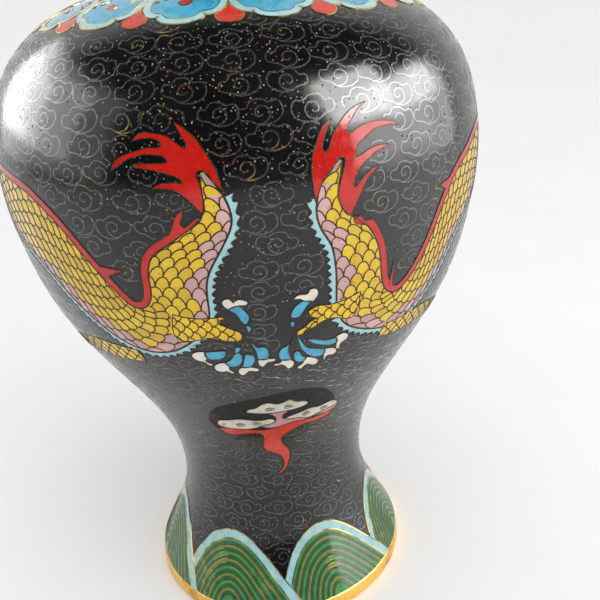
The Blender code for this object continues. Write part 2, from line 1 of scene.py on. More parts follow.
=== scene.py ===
"""Looks of the cloisonne vase: smooth enamel skin, cells, wires, gilt rims, floor and light.

Lengths are millimetres and angles degrees until a mesh is made. A place on the skin is
(phi, z): phi is the angle round the vase, 0 facing -Y and growing towards +X, and z is the
height. Lift is a distance proud of the black enamel. A flat outline of a cell is a list of
runs: each run starts at a corner and is a smooth curve up to the next run's corner.
"""
import math
import random

import bpy
import numpy as np
from mathutils import Matrix, Vector
from mathutils.geometry import delaunay_2d_cdt


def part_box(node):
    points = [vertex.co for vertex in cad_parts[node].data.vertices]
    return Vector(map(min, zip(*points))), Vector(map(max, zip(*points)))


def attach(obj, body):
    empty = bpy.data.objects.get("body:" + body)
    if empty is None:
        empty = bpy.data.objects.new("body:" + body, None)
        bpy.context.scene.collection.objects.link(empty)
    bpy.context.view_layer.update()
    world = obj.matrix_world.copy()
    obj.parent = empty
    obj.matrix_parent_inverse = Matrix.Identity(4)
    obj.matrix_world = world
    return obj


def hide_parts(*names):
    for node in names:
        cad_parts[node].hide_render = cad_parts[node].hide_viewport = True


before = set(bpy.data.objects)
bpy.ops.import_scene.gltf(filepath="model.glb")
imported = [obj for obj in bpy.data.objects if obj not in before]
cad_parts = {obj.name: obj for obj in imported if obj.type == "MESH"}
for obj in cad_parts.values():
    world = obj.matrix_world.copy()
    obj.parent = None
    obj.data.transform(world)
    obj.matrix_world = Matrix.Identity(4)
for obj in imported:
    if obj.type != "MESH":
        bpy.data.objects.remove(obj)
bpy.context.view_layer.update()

# ---------------------------------------------------------------- sizes (mm)
MM = 0.001
PROFILE = [
    (5, 43.2), (15, 38.0), (27.5, 32.6), (41.5, 31.0), (57, 33.7), (74.5, 41.6), (92, 52.1),
    (109.5, 61.0), (127, 66.0), (144, 68.0), (158, 66.9), (170.5, 62.6), (179, 55.6),
    (184.2, 48.0), (187.6, 40.0), (190, 32), (193, 24.6), (198, 20.2), (206, 18.5),
    (215, 19.6), (222.5, 23.3), (227, 27.5),
]
ENAMEL = 1.0
COPPER = 1.0
LINING = 0.6
GAP = 0.3
SEGMENTS = 192          # faces round a turned part
CIRCLE_CORNERS = 40
PROFILE_STEP = 0.5
EDGE_ANGLE = 32         # sharper edges than this stay sharp
SKIN_STEP = 1.4         # between the rings of the enamel, the copper and the lining
WALL_STEP = 3.0
LINING_STEP = 2.5
AXIS_HOLE = 0.02        # the least radius of a disc's rings
DISC_RINGS = 16
DISC_HOLLOW = 0.12      # how far a disc's underside is dished
# Gilt rims: node, inner radius, rounding, widening of the lower edge.
RIMS = [("foot_rim", 38.2, 0.9, 0.6), ("mouth_rim", 23.5, 1.2, 0)]
RIM_STEPS = 6

CELL_LIFT = 0.05
OVER_LIFT = 0.09        # a cell that lies on another cell
DETAIL_LIFT = 0.12      # and a detail on top of that
PUPIL_LIFT = 0.15
CELL_DEPTH = 0.3
CELL_GRID = 2.0
FINE_GRID = 1.5         # for narrow cells
DOT_GRID = 1.0
OUTLINE_STEP = 0.6
WIRE_STEP = 0.55
WIRE_WIDTH = 0.34
WIRE_TOP = 0.13
CLOUD_WIRE_WIDTH = 0.44
CLOUD_WIRE_TOP = 0.03
WIRE_ROOT = -0.12
# Across the wire and up it, as shares of its width and height.
WIRE_SECTION = [(-0.5, 0.0), (-0.36, 1.0), (0.36, 1.0), (0.5, 0.0)]
CLOUD_WIRE_STEP = 0.68
DETAIL_WIRE_TOP = 0.17  # wires drawn on top of a cell
CURL_WIRE_TOP = 0.16    # and spirals drawn on one
STRAND_WIRE_TOP = 0.15  # and the edges of the collar's strands

# ---------------------------------------------------------------- camera
CAMERA_PLACE = (0.0, -209.5, 185.5)
CAMERA_YAW = 3.73
CAMERA_PITCH = 23.58    # downwards
CAMERA_ROLL = -4.23
CAMERA_LENS = 41.74
SENSOR_WIDTH = 36.0
CLIP_START = 0.005      # metres

# ---------------------------------------------------------------- dragons
# Stations along each body from the tail tip: (ridge phi, ridge z, belly phi, belly z).
LEFT_TAIL = [
    (-7.9, 153.6, -7.2, 153.8), (-7.9, 149, -4.6, 149.3), (-8.3, 144.9, -3.4, 145),
    (-11.7, 141.3, -3.7, 141.6), (-15.4, 138.4, -5.2, 138.2), (-19, 135.5, -7, 134.8),
    (-20.7, 131.5, -8.8, 131.2), (-21.1, 127.5, -9.8, 127.2), (-21.7, 124.6, -10.1, 122.5),
    (-23, 122.4, -11, 117.5), (-25, 121.5, -15, 112.6), (-27, 122, -20.5, 108.8),
    (-29, 124.4, -27, 107.6), (-31.5, 128.5, -33, 109.3), (-35, 134, -38.5, 113.5),
    (-39, 139.8, -44, 119.4), (-43.5, 144.2, -49.5, 126.3), (-49, 147.6, -55, 131),
    (-55, 149.2, -61, 134),
]
RIGHT_TAIL = [
    (17.6, 153.2, 17.0, 153.4), (16.9, 149.5, 13.7, 149.5), (16.4, 145.5, 12.4, 145.5),
    (18.4, 141.3, 12.3, 141.5), (21.8, 138.3, 13.4, 138), (24, 135, 14.9, 134.8),
    (25.5, 131, 15.7, 130.8), (26.3, 127, 16.1, 126.8), (26.9, 123.5, 16.3, 122.5),
    (28, 120.2, 16.8, 117.5), (29.6, 118.2, 19, 112.5), (31.5, 117.3, 24, 109),
    (33.5, 117.8, 30, 106.9), (35.8, 119.8, 35.5, 106.8), (38.2, 123.4, 40, 108.6),
    (40.5, 128, 44.5, 112.5), (42.8, 133.6, 48.5, 118), (45.5, 139, 52, 124),
    (49, 143.3, 56.5, 129.5), (54, 146.2, 62, 133.5),
]
# The neck on the far side, for the left dragon; the right one has its mirror image.
NECK = [
    (-64, 150.6, -69, 135.5), (-75, 150.6, -79, 134.5), (-86, 148, -90, 130.5),
    (-96, 144, -100, 126), (-106, 141, -111, 123.8), (-116, 141.5, -121, 125.2),
    (-125, 145.5, -130, 130), (-133, 151, -139, 136.5), (-139.5, 156, -146, 142),
]
SCALE_WIDTH = 3.4
SCALE_ROW = 2.75
SCALE_WIRE = 0.36
BODY_GRID = 0.5
LILAC_BAND = 4.4        # belly scales within this of the belly line are lilac
LILAC_STEP = 2.2        # the band is narrower by this at some scales
LILAC_STEADY = 0.7      # the share of the scales where it is not
LILAC_SHARE = 0.42      # never wider than this share of the body
SCRAMBLE = (12.9, 78.2, 4375.5)    # turns a scale's row and column into a random number
TAIL_CLEAR = 0.4        # no scale's front is closer to the tail tip
SCALE_ARC_POINTS = 13
BODY_WIRE_STEP = 0.7
RIDGE_WIDTH = 1.9
RIDGE_INSET = 0.12      # how far the ridge reaches over the body's edge
FORK_CLEAR = 0.6        # the fork's base is this far above the first of the plain ridge
SPIKE_SPREAD = 1.1      # half a spike's width at its base
FRINGE_BAND = 1.25
FRINGE_TOOTH = 1.25
FRINGE_PITCH = 2.1
FRINGE_INSET = 0.2
FRINGE_STEP = 0.5
FRINGE_START = {"left": 6.5, "right": 9.5}     # along the belly line from the tail tip
FRINGE_SPLIT = 42.0     # where the tail's fringe ends and the belly's begins
TOOTH_SLOPE = 1.3       # how much faster than the pitch a tooth falls away
LEG_STEP = 1.2
LEG_SCALE_PITCH = 3.3
LEG_ARC_POINTS = 11
LEG_ARC_STEP = 0.4
LEFT_SPIKES = [((-31.8, 130.2), (-26.3, 131.5))]
RIGHT_SPIKES = [((28.3, 119.6), (29.8, 126.5)), ((46, 140), (42.3, 142))]
# The forked upper end of each red ridge, from its inner edge over both tips to its outer one.
LEFT_FORK = [
    [(-13.9, 139.6), (-11.8, 141.2), (-10.4, 142.2), (-9.1, 143.3), (-8.4, 144.5)],
    [(-8.4, 144.5), (-9.5, 144.1), (-10.9, 143.0), (-12.0, 142.2)],
    [(-12.0, 142.2), (-12.5, 143.0), (-12.2, 144.2), (-11.7, 146.1)],
    [(-11.7, 146.1), (-12.7, 145.4), (-13.5, 144.3), (-14.3, 142.1), (-15.4, 140.0)],
]
RIGHT_FORK = [
    [(20.2, 138.6), (19.5, 139.4), (19.7, 140.8)],
    [(19.7, 140.8), (20.2, 140.0)],
    [(20.2, 140.0), (20.9, 140.6), (21.4, 139.5), (22.0, 138.6)],
]

LEFT_FLAME = [
    [(-4.2, 149.6), (-4.7, 152.3), (-5.1, 154.2), (-6.0, 156.3), (-7.0, 158.4), (-8.1, 160.4),
     (-9.6, 162.1), (-10.7, 163.1)],
    [(-11.9, 163.9), (-11.2, 162.2), (-10.2, 160.2), (-9.9, 159.3)],
    [(-10.2, 158.5), (-11.3, 159.5), (-12.5, 160.6), (-13.7, 161.4), (-15.3, 161.8),
     (-17, 162.1), (-18.3, 161.9), (-19.3, 161.3)],
    [(-19.9, 160.4), (-18.8, 160.7), (-17.7, 160.9), (-16.4, 160.9), (-14.8, 160.3)],
    [(-14.3, 159.6), (-14.7, 159.1), (-16.2, 159.1), (-17.8, 158.9), (-19.9, 158.3),
     (-22.1, 157.5), (-23.5, 156.5)],
    [(-24.7, 154.4), (-22.9, 155.6), (-21.4, 156.6), (-19.6, 157.3), (-17.9, 157.7),
     (-15.9, 157.6), (-14.1, 157.1)],
    [(-13.5, 156.1), (-14.8, 155.9), (-16.7, 155.9), (-19.4, 155.9)],
    [(-20.6, 155.5), (-18.8, 155.0), (-16.8, 154.6), (-14.9, 154.1), (-13.1, 153.4),
     (-11.8, 152.8)],
    [(-11.1, 151.6), (-12.6, 151.9), (-14.5, 151.8), (-15.8, 151.5)],
    [(-16.9, 150.7), (-14.6, 150.7), (-13.4, 150.4), (-12.2, 149.8), (-11, 148.7),
     (-9.9, 147.3), (-8.8, 145.7)],
    [(-8.1, 144.9), (-7.9, 148.2), (-8.0, 150.4), (-8.4, 152.2), (-8.6, 153.5), (-8.0, 154.2),
     (-7.0, 153.9), (-6.3, 152.9), (-5.5, 151.3)],
]
RIGHT_FLAME = [
    [(12.0, 145.2), (11.8, 147.6), (11.7, 150.6), (11.9, 153.4), (12.3, 155.5), (13, 157),
     (13.6, 158.6), (14.3, 159.9), (15.1, 160.9)],
    [(16.8, 161.9), (16, 160.9), (15.3, 159.8), (14.7, 158.2), (14.1, 156.7)],
    [(14.4, 155.2), (15.2, 155.8), (15.9, 157.5), (16.8, 159.1), (17.9, 160.6), (19.4, 162.2),
     (21.1, 163.3)],
    [(24.2, 164.2), (22.6, 163.3), (21.5, 162.4), (20.6, 161.2), (19.6, 160.1)],
    [(19.3, 158.3), (20.3, 158.5), (21.3, 159.1), (22.9, 159.7), (24.4, 159.9), (26.7, 159.9),
     (28.8, 159.5)],
    [(31.2, 158.3), (28.9, 158.7), (26.9, 158.7), (25.1, 158.4), (23.6, 157.6), (22.3, 156.7),
     (21.1, 155.7)],
    [(20.3, 153.3), (21.2, 153.5), (22.4, 154), (23.6, 154.6), (25.2, 154.9)],
    [(28.0, 154.8), (26.7, 154.1), (25, 153.7), (23.7, 152.9), (22.4, 152), (21.3, 151),
     (20.3, 149.7)],
    [(19.7, 146.9), (20.8, 147.7), (21.6, 148.8), (22.7, 149.6), (24, 150.4)],
    [(25.5, 150.7), (24.3, 149.9), (23.1, 148.8), (22.1, 147.5), (21.3, 145.8), (20.5, 144.1),
     (19.9, 142.9)],
    [(18.6, 140.9), (17.6, 141.9), (16.9, 143.4), (16.5, 145.2), (16.5, 146.7), (16.9, 148.2),
     (17.4, 149.9), (18.0, 151.7), (18.3, 153.0), (17.8, 153.9), (17.0, 153.6), (15.4, 151.4),
     (14.2, 150.2), (13.3, 148.8), (12.7, 147.2)],
]
LEFT_LEG = [
    [(-18, 120.2), (-15, 119.4), (-11, 119.1)],
    [(-7.5, 119.5), (-7.4, 118.7), (-8.2, 118.1), (-8.6, 117.2)],
    [(-7.8, 116.9), (-6.6, 115.9), (-5.6, 115.3), (-4.4, 114.4), (-4.0, 112.9), (-4.8, 111.9)],
    [(-6.2, 111.9), (-8.4, 112.3), (-11, 113.2), (-14.5, 112.4), (-18, 112.4)],
]
RIGHT_LEG = [
    [(22, 120.8), (18, 119.5), (14.5, 119.2), (12, 119.4)],
    [(10.2, 118.4), (10.6, 117.0), (11.6, 116.2), (12.4, 115.8)],
    [(11.2, 115.7), (10.1, 114.6), (9.2, 113.6), (7.9, 112.9), (7.8, 111.7), (9.2, 112.0)],
    [(9.9, 112.6), (11.6, 113.4), (13.4, 114.6), (16.5, 114.8), (20, 113.6)],
]
# Turquoise toes and white talons of the hind claws.
LEFT_TOES = [
    [[(-6.3, 121.5), (-5.0, 120.3), (-3.9, 117.8), (-3.1, 116.8), (-2.5, 117.6), (-2.1, 118.9),
      (-2.8, 120.6), (-3.9, 122.2)]],
    [[(-3.0, 116.6), (-2.1, 116.0), (-2.0, 115.3)], [(-2.7, 114.3), (-3.0, 115.4)]],
    [[(-8.7, 108.9), (-8.6, 107.6), (-9.6, 106.3), (-11.5, 105.8), (-13.2, 106.2)],
     [(-13.6, 108.4), (-11.5, 108.7)]],
    [[(-6.9, 107.3), (-5.6, 108.0), (-5.0, 106.5), (-5.3, 104.6), (-6.7, 103.1),
      (-8.5, 103.2)], [(-9.4, 104.6), (-7.9, 105.6)]],
    [[(-6.0, 109.9), (-5.1, 109.7), (-5.4, 108.4)], [(-6.6, 107.9), (-6.4, 108.9)]],
    [[(-4.2, 107.3), (-2.7, 107.0), (-2.1, 105.6), (-2.6, 103.7), (-3.6, 102.5)],
     [(-5.5, 102.5), (-4.8, 105.1)]],
    [[(-2.6, 111.2), (-1.7, 110.2), (-1.6, 109.4), (0.1, 109.4), (1.2, 107.4), (0.7, 104.9)],
     [(-1.4, 105.0), (-1.8, 108.3)]],
]
LEFT_TALONS = [
    [[(-6.3, 121.5), (-3.9, 122.4)], [(-3.9, 122.4), (-2.2, 122.6)],
     [(-2.1, 123.3), (-4.1, 124.0)], [(-5.0, 123.2), (-5.9, 124.4), (-7.1, 123.9),
                                      (-7.1, 122.5)]],
    [[(-13.4, 108.6), (-15.2, 108.6), (-16.9, 107.1), (-16.1, 105.6)],
     [(-14.3, 105.0), (-12.8, 103.6)], [(-12.3, 104.1), (-13.9, 105.7)], [(-13.2, 106.2)]],
    [[(-9.3, 104.6), (-10.9, 104.5), (-12.4, 102.8), (-11.5, 101.3)],
     [(-9.4, 101.4), (-7.9, 100.4)], [(-7.8, 101.0), (-8.8, 102.4)], [(-8.4, 103.2)]],
    [[(-5.5, 102.7), (-6.2, 102.2), (-6.7, 100.6), (-5.7, 99.4), (-4.5, 100.6)],
     [(-3.9, 101.1), (-1.5, 101.0)], [(-1.5, 101.6), (-3.4, 102.5)]],
    [[(-1.4, 105.0), (-1.5, 103.6), (-0.6, 102.2), (0.5, 103.4)],
     [(0.8, 103.8), (2.7, 104.2)], [(2.7, 104.9), (0.7, 105.0)]],
]
RIGHT_TOES = [
    [[(8.9, 121.6), (10.9, 121.2)], [(10.9, 121.2), (9.4, 119.2), (7.9, 117.1), (6.6, 117.3),
                                     (6.7, 119.2), (7.7, 120.7)]],
    [[(6.4, 116.2), (7.0, 116.1)], [(7.0, 114.4), (6.5, 114.6)]],
    [[(7.4, 112.3), (6.7, 111.1), (5.7, 108.9), (4.4, 108.2), (3.5, 106.2), (4.1, 103.9)],
     [(6.6, 103.6), (6.0, 105.6), (5.8, 107.6), (6.2, 109.3), (7.0, 111.0)]],
    [[(7.1, 105.7), (7.7, 106.4), (8.6, 105.8), (9.2, 104.3)],
     [(10.4, 103.5), (9.6, 102.2), (8.1, 102.3), (7.2, 103.8)]],
    [[(7.8, 111.8), (8.8, 109.7), (10.3, 107.0), (12.5, 106.0)], [(15, 105), (15, 103.4)],
     [(15, 103.4), (13.3, 102.9), (11, 103.9), (9.8, 105.3), (8.7, 107.4), (8.1, 109.6)]],
    [[(10.0, 109.8), (11.7, 109.4), (13.7, 108.5), (15.7, 108.1)], [(17.5, 108.4), (18, 106.6)],
     [(18, 106.6), (16.5, 106.2), (13.3, 107.1), (11.3, 108.3)]],
]
RIGHT_TALONS = [
    [[(7.0, 122.4), (8.3, 123.5), (9.9, 123.3)], [(10.4, 124.4), (11.5, 124.6), (12.3, 123.2),
                                                  (11.6, 121.5), (10.9, 120.9)],
     [(10.7, 121.2), (8.9, 121.8)], [(8.6, 122.2)]],
    [[(4.2, 103.9), (6.6, 103.4), (7.3, 101.6), (5.9, 100.2), (5.0, 101.5)],
     [(4.2, 102.2), (2.2, 102.4)], [(2.3, 103.0), (3.9, 103.1)]],
    [[(10.2, 103.7), (12.7, 102.5), (13.7, 101.1), (12.8, 99.9), (10.7, 100.8)],
     [(9.3, 99.3), (8.1, 100.0)], [(8.3, 100.6), (9.5, 101.5), (9.8, 102.4)]],
    [[(14.9, 105.1), (17.5, 104.6), (18.3, 103.1), (17.4, 102.3), (15.9, 102.5)],
     [(15.4, 100.7)], [(14.9, 101.4), (14.8, 103.1)]],
    [[(17.3, 108.6), (18.8, 109.2), (20.5, 108.3), (20.4, 106.6), (19.2, 106.1)],
     [(19.0, 103.9)], [(17.8, 104.2), (17.7, 106.2)]],
]
# The front half of the left dragon, on its far side.
HEAD = [
    [(-138, 157.2), (-141, 159.4), (-144.5, 160.8), (-149, 160.9), (-152.5, 159.2)],
    [(-154.5, 157.3), (-159, 156.6), (-163, 157.6), (-166, 158.2), (-168.6, 156.4),
     (-168.8, 152.8), (-167, 150.6), (-164, 151.3)],
    [(-162.5, 149.8), (-159, 149.6), (-155.8, 148.2)],
    [(-157, 146.9), (-161, 146.3), (-164.6, 145.4), (-166.4, 142.8), (-164, 140.2),
     (-158, 139.4), (-152, 139.3), (-147.5, 140.4)],
    [(-143, 142.6), (-139.5, 146.5), (-137.4, 152)],
]
EYE = (-149.2, 156.6)
EYE_RADIUS = 2.0
EYE_SQUASH = 0.75
NOSTRIL = (-165.8, 155.2)
PUPIL_RADIUS = 0.9      # and the nostril's
FIRST_TOOTH = (-157.5, 149.4)
TOOTH_STEP = (-2.4, 0.15)
TOOTH_HALF_WIDTH = 0.9  # degrees
TOOTH_LENGTH = 2.1
TEETH = 4
# Wires on the face: brow, jaw and cheek.
FACE_LINES = [
    [(-144.5, 158.4), (-148, 159.6), (-152.6, 158.2), (-155.5, 155.4)],
    [(-141.5, 148.5), (-146, 147.4), (-150.5, 148.6), (-155.8, 148.2)],
    [(-142.5, 154.5), (-145, 151.4), (-144, 147.6)],
]
FACE_STEP = 0.7
MANE = [
    [(-137.2, 158.2), (-139.5, 160.8), (-142.5, 161.7)],
    [(-139.5, 163.4), (-137.3, 166.4), (-130, 168.9)],
    [(-132.2, 166.2), (-132.3, 164.2), (-125, 164.2)],
    [(-128.5, 162.4), (-129.6, 160.4), (-123, 158.8)],
    [(-127.5, 158), (-131.5, 156.4), (-133.6, 154.2)],
]
BEARD = [
    [(-146, 140.2), (-149, 137.2), (-155, 135.2)],
    [(-148.5, 135.4), (-144.5, 133.2), (-141.5, 131.4)],
    [(-141.5, 134.4), (-139.2, 134.9), (-135, 133.2)],
    [(-136.4, 137.2), (-138.6, 140.8), (-141.5, 143.2)],
]
HORN = [
    [(-144.5, 161.6), (-149.5, 162.2)],
    [(-149.5, 162.2), (-148.8, 166), (-145, 169.6)],
    [(-139, 173.6), (-142, 169.2), (-143.6, 165.4)],
]
WHISKERS = [
    [(-166.5, 158.4), (-170, 161.5), (-173, 164.6), (-171, 168), (-167, 169.5), (-165, 167.2)],
    [(-164, 158), (-162, 161.6), (-158.5, 163.8), (-155.5, 166.8), (-156.5, 170)],
]
WHISKER_WIDTH = (1.5, 0.4)     # at the root and at the tip
WHISKER_STEP = 0.8
FRONT_LEG = [(-31, 105.2), (-38, 104.8), (-47, 104.6), (-57, 102.4), (-68, 98.6), (-79, 94.2)]
FRONT_LEG_WIDTH = [4.6, 6.2, 5.6, 4.8, 4.2, 2.6]
REACHING_LEG = [(-96, 128), (-103, 121), (-112, 114.5), (-122, 110.5), (-131, 109.5)]
REACHING_LEG_WIDTH = [6.4, 6.4, 5.4, 4.4, 2.6]
# The claws of the far side, round each wrist.
TOE_SPREAD = (-82, -42, -6, 32, 74)
TOE_CURL = 28
TOE_JOINT = 3.4
TOE_ROOT = 0.25         # where a toe begins, as a share of its first joint
TOE_WIDTH = 2.3
TOE_SWELL = (0.35, 2.5)        # the part of a sine wave that a toe's width follows
TOE_STEP = 0.5
TALON_LENGTH = 3.0
TALON_OVERLAP = 0.12
TALON_WIDTH = (1.9, 0.5)
TALON_STEP = 0.4
PEARL_CENTRE = (180, 146)
PEARL_TURN = 4 * math.pi
PEARL_CURL = (3.4, 0.5)        # the spiral's radius at its ends
PEARL_CURL_POINTS = 60
PEARL_RADIUS = 5.0
PEARL_FLAME = [
    [(173.6, 150.8), (171.2, 155.5), (169.5, 162.5)],
    [(173.5, 159.6), (175.6, 162), (178, 168.5)],
    [(180.4, 163), (182.6, 159.8), (187.6, 164.2)],
    [(187, 158.5), (187, 154), (186, 150.8)],
    [(186, 150.8), (183, 152.4), (180, 152.8), (176.5, 152.3)],
]

# ---------------------------------------------------------------- cloud at the waist
PATCH = [[(-23, 72.6), (-23.6, 77), (-20.5, 82), (-13.5, 86), (-4, 88.4), (6, 90.2), (14, 89.6),
          (20.5, 86), (24.5, 80.5)], [(26.5, 75.6), (12, 74), (0, 72.6), (-12, 72)]]
CLOUD_TOP = [[(-8, 82), (-7, 83.2), (-5, 83.6), (-3, 84.9), (0, 85.9), (2, 85), (5, 85.4),
              (7, 85.8), (9, 84.6), (11, 84.2), (13.5, 82.8)],
             [(12.5, 81.8), (9, 81), (6, 80.9), (2, 80.7), (-3, 80.9)]]
CLOUD_LEFT = [[(-21, 75), (-20, 77), (-17, 77.6), (-14, 78), (-10, 78.2), (-7, 77.6),
               (-3, 77.2), (1, 77.2), (2, 76), (0, 75), (-3, 74.6)],
              [(-6, 73.4), (-10, 73), (-14, 73.2), (-19, 73.8)]]
CLOUD_RIGHT = [[(5.5, 76.8), (8, 77.8), (12, 78.8), (15, 79.6), (18, 79.2), (21, 79.8),
                (26, 79), (27, 77.6), (24, 76.5), (20, 76), (17, 75.2), (14, 75), (11, 76),
                (7, 76)]]
CLOUD_MIDDLE = [[(-3, 80.4), (3, 80.5), (6.5, 80.4)], [(4.8, 79), (4.6, 77.6), (9, 76.2),
                (14, 75.1), (22, 76.2), (27.4, 77.4)], [(26, 75), (14, 74.4), (6, 73.6),
                (-2, 73.2)], [(-4, 74.4), (1, 75.6), (2.2, 77), (1.6, 78.8)]]
CLOUD_TAIL = [[(-21.5, 73.2), (-10, 72.8), (-3, 72), (3, 73), (10, 74.4), (20, 74.2),
               (26.8, 75.2)], [(24, 72.5), (20, 71.8), (14, 71.8), (9.5, 70.3), (6, 68.5),
               (4, 66.5), (4.5, 64.5), (6, 62.5), (8, 60), (8.5, 57.5), (7.5, 54.5),
               (5.5, 51.5), (3, 50)], [(0.5, 50), (3.5, 51.5), (5, 53.5), (5, 55.5),
               (4, 57.5), (2, 59), (-2, 60.8), (-4.3, 62.5), (-4.2, 65), (-3.5, 68),
               (-4.5, 70), (-6.5, 70.5), (-12, 70.2), (-20, 70.8)]]
CLOUD_CURLS = [(0, 82.5), (6.4, 82.6), (-11.8, 75.2), (-5.6, 75.6), (13.5, 77.2), (20.6, 77.6)]
CURL_TURN = (-0.6, 3.1 * math.pi)
CURL_SIZE = (1.35, 0.3)
CURL_SQUASH = 0.8
CURL_POINTS = 34
PATCH_LIFT = 0.025
MIDDLE_LIFT = 0.07      # between the red tail and the white puffs

# ---------------------------------------------------------------- foot, collar and neck
WAVES = 7
WAVE_PITCH = 360 / WAVES
WAVE_CREST = [
    (-28.6, 5.2), (-27.6, 10), (-25.2, 15), (-21.6, 20), (-16.8, 23.6), (-11, 26), (-4, 27.2),
    (2, 26.8), (6.6, 25.5), (11.8, 23.1), (16.8, 20), (21.5, 16.2), (26, 12.4), (29.8, 8.6),
    (33, 5.2),
]
WAVE_HEART = (-1.2, 5.2)
WAVE_BORDER = 0.87      # the green field's size within the arch
WAVE_STRIPES = 17
WAVE_COLOURS = ("green", "dark_green", "olive", "dark_green")
WAVE_LEAST = 0.08       # the innermost stripe's size within the arch
WAVE_STEP = 0.8
WAVE_LIFT = 0.035       # at an arch's left side; it passes behind its neighbour there
WAVE_RISE = 0.085       # and more than that at its right side
STRIPE_WIRE = {"width": 0.24, "top": 0.135}
BORDER_WIRE = {"width": 0.42, "top": 0.16}
COLLAR_HEADS = 15
COLLAR_PITCH = 360 / COLLAR_HEADS
COLLAR_TOP = 188.0
# Over the collar's zero line, as (phi from the head's middle, mm up the skin).
COLLAR_ZERO = 182.0
COLLAR_STRAND = 1.75
CENTRE_LOBE = [(-5.6, 3.0), (-4.9, 1.7), (-2.8, 0.7), (0, 0.4), (2.8, 0.7), (4.9, 1.7),
               (5.6, 3.0)]
SIDE_LOBE = [(5.6, 3.0), (7.2, 2.9), (9.0, 3.8), (10.3, 5.6), (10.9, 7.8), (10.8, 10.2),
             (9.8, 12.2), (8.0, 12.8), (6.5, 11.9), (6.3, 10.5), (7.2, 10.0)]
COLLAR_FIELD = [[(-5.6, 3.0), (-4.9, 1.7), (0, 0.4), (4.9, 1.7)],
                [(5.6, 3.0), (7.2, 2.9), (9.0, 3.8), (10.3, 5.6), (10.9, 7.8), (10.8, 10.2),
                 (10.2, 12.0)],
                [(9.8, 14.6), (0, 14.6)], [(-9.8, 14.6)],
                [(-10.2, 12.0), (-10.8, 10.2), (-10.9, 7.8), (-10.3, 5.6), (-9.0, 3.8),
                 (-7.2, 2.9)]]
DROP = [[(0, 6.4), (-0.9, 4.6), (-2.4, 2.9)], [(-3.7, 1.7), (-2.9, 0.1), (-1.5, -0.8),
        (0, -1.1), (1.5, -0.8), (2.9, 0.1)], [(3.7, 1.7), (2.4, 2.9), (0.9, 4.6)]]
COLLAR_STEP = 0.5
COLLAR_CROSSING = 0.01  # how much the middle strand is raised where strands meet
STRAND_END = 0.55       # a strand's width at its ends, as a share
STRAND_TAPER = 4        # each point towards the middle adds one part in this, up to the whole
COLLAR_WIRE = 0.3
COLLAR_EYE = (8.6, 8.7)
COLLAR_EYE_RADIUS = 0.5
COLLAR_EYE_SQUASH = 0.3
COLLAR_DOT = (0, 7.9)
COLLAR_DOT_RADIUS = 1.25
COLLAR_DOT_SQUASH = 0.35
COLLAR_DOT_MARGIN = 0.2
COLLAR_DOT_WIRE = 0.5
BAND_WIRE = 0.4
BAND_WIRE_POINTS = 400
BAND_STEP = 0.6
LAPPETS = 12
LAPPET_GAP = 1.2        # degrees between a lappet's edge and the middle of the gap
LAPPET_SHOULDER = 0.6   # the width where the point begins, as a share
LAPPET_ROUND = (0.6, 1.4)      # over the notch and over the lowest point, where it rounds
LAPPET_GRID = 1.2
LAPPET_DOT_RADIUS = 1.2
LAPPET_DOT_STRETCH = 1.3
LAPPET_TOP = 225.5
LAPPET_BOTTOM = 217.5
LAPPET_NOTCH = 221.0
NECK_BASE = 193.5

# ---------------------------------------------------------------- ground clouds (mm)
CLOUD_RIM = [(-4.2, -0.9), (-4.6, 0.3), (-3.9, 1.3), (-2.7, 1.1), (-2.0, 2.2), (-0.4, 2.7),
             (1.2, 2.3), (2.1, 1.7), (3.6, 2.0), (4.6, 0.9), (4.5, -0.9), (3.2, -2.1),
             (1.2, -2.6), (-0.9, -2.3), (-2.4, -1.4), (-3.3, -1.3)]
CLOUD_SPIRAL = [(-0.9, -2.3), (0.9, -2.0), (1.9, -0.8), (1.6, 0.7), (0.3, 1.3), (-0.9, 0.7),
                (-1.1, -0.4), (-0.3, -0.9), (0.5, -0.4)]
CLOUD_PITCH = (10.3, 5.9)
CLOUD_MARGIN = 0.5      # clear of the motifs
CLOUD_LEAST = 0.45      # the share of a cloud that has to be left for it to be set at all
CLOUD_ZONES = [
    ("cloud_wires_foot", 17.0, 72.0), ("cloud_wires_belly", 72.0, 134.0),
    ("cloud_wires_shoulder", 134.0, 183.5), ("cloud_wires_neck", 196.0, 216.5),
]
CLOUD_DRIFT = 0.9       # degrees a cloud may lie to either side of its even place
CLOUD_RISE = 0.35       # and mm above or below it
CLOUD_FLIPPED = 0.3     # the share of clouds that may face the other way
CLOUD_TILT = 7          # degrees
CLOUD_SIZES = (0.9, 1.06)
CLOUD_STEP = 0.45
SEAM = 186              # motifs count on both sides of phi = 180, to a little past it
SEED = 7


# ---------------------------------------------------------------- curves and the skin
def curve(points, step=OUTLINE_STEP):
    """Points about a step apart on the natural cubic spline through the given points."""
    points = np.array(points, float)
    spans = np.linalg.norm(np.diff(points, axis=0), axis=1)
    points = points[np.concatenate([[True], spans > 0])]
    spans = spans[spans > 0]
    size = len(points)
    matrix = np.eye(size)
    right_side = np.zeros(points.shape)
    for i in range(1, size - 1):
        before, after = spans[i - 1], spans[i]
        matrix[i, i - 1:i + 2] = before, 2 * (before + after), after
        right_side[i] = 6 * ((points[i + 1] - points[i]) / after
                             - (points[i] - points[i - 1]) / before)
    bend = np.linalg.solve(matrix, right_side)
    samples = []
    for i, span in enumerate(spans):
        count = max(1, round(span / step))
        far = np.arange(count)[:, None] / count
        near = 1 - far
        samples.append(near * points[i] + far * points[i + 1] + span ** 2 / 6 * (
            (near ** 3 - near) * bend[i] + (far ** 3 - far) * bend[i + 1]))
    return np.concatenate([*samples, points[-1:]])


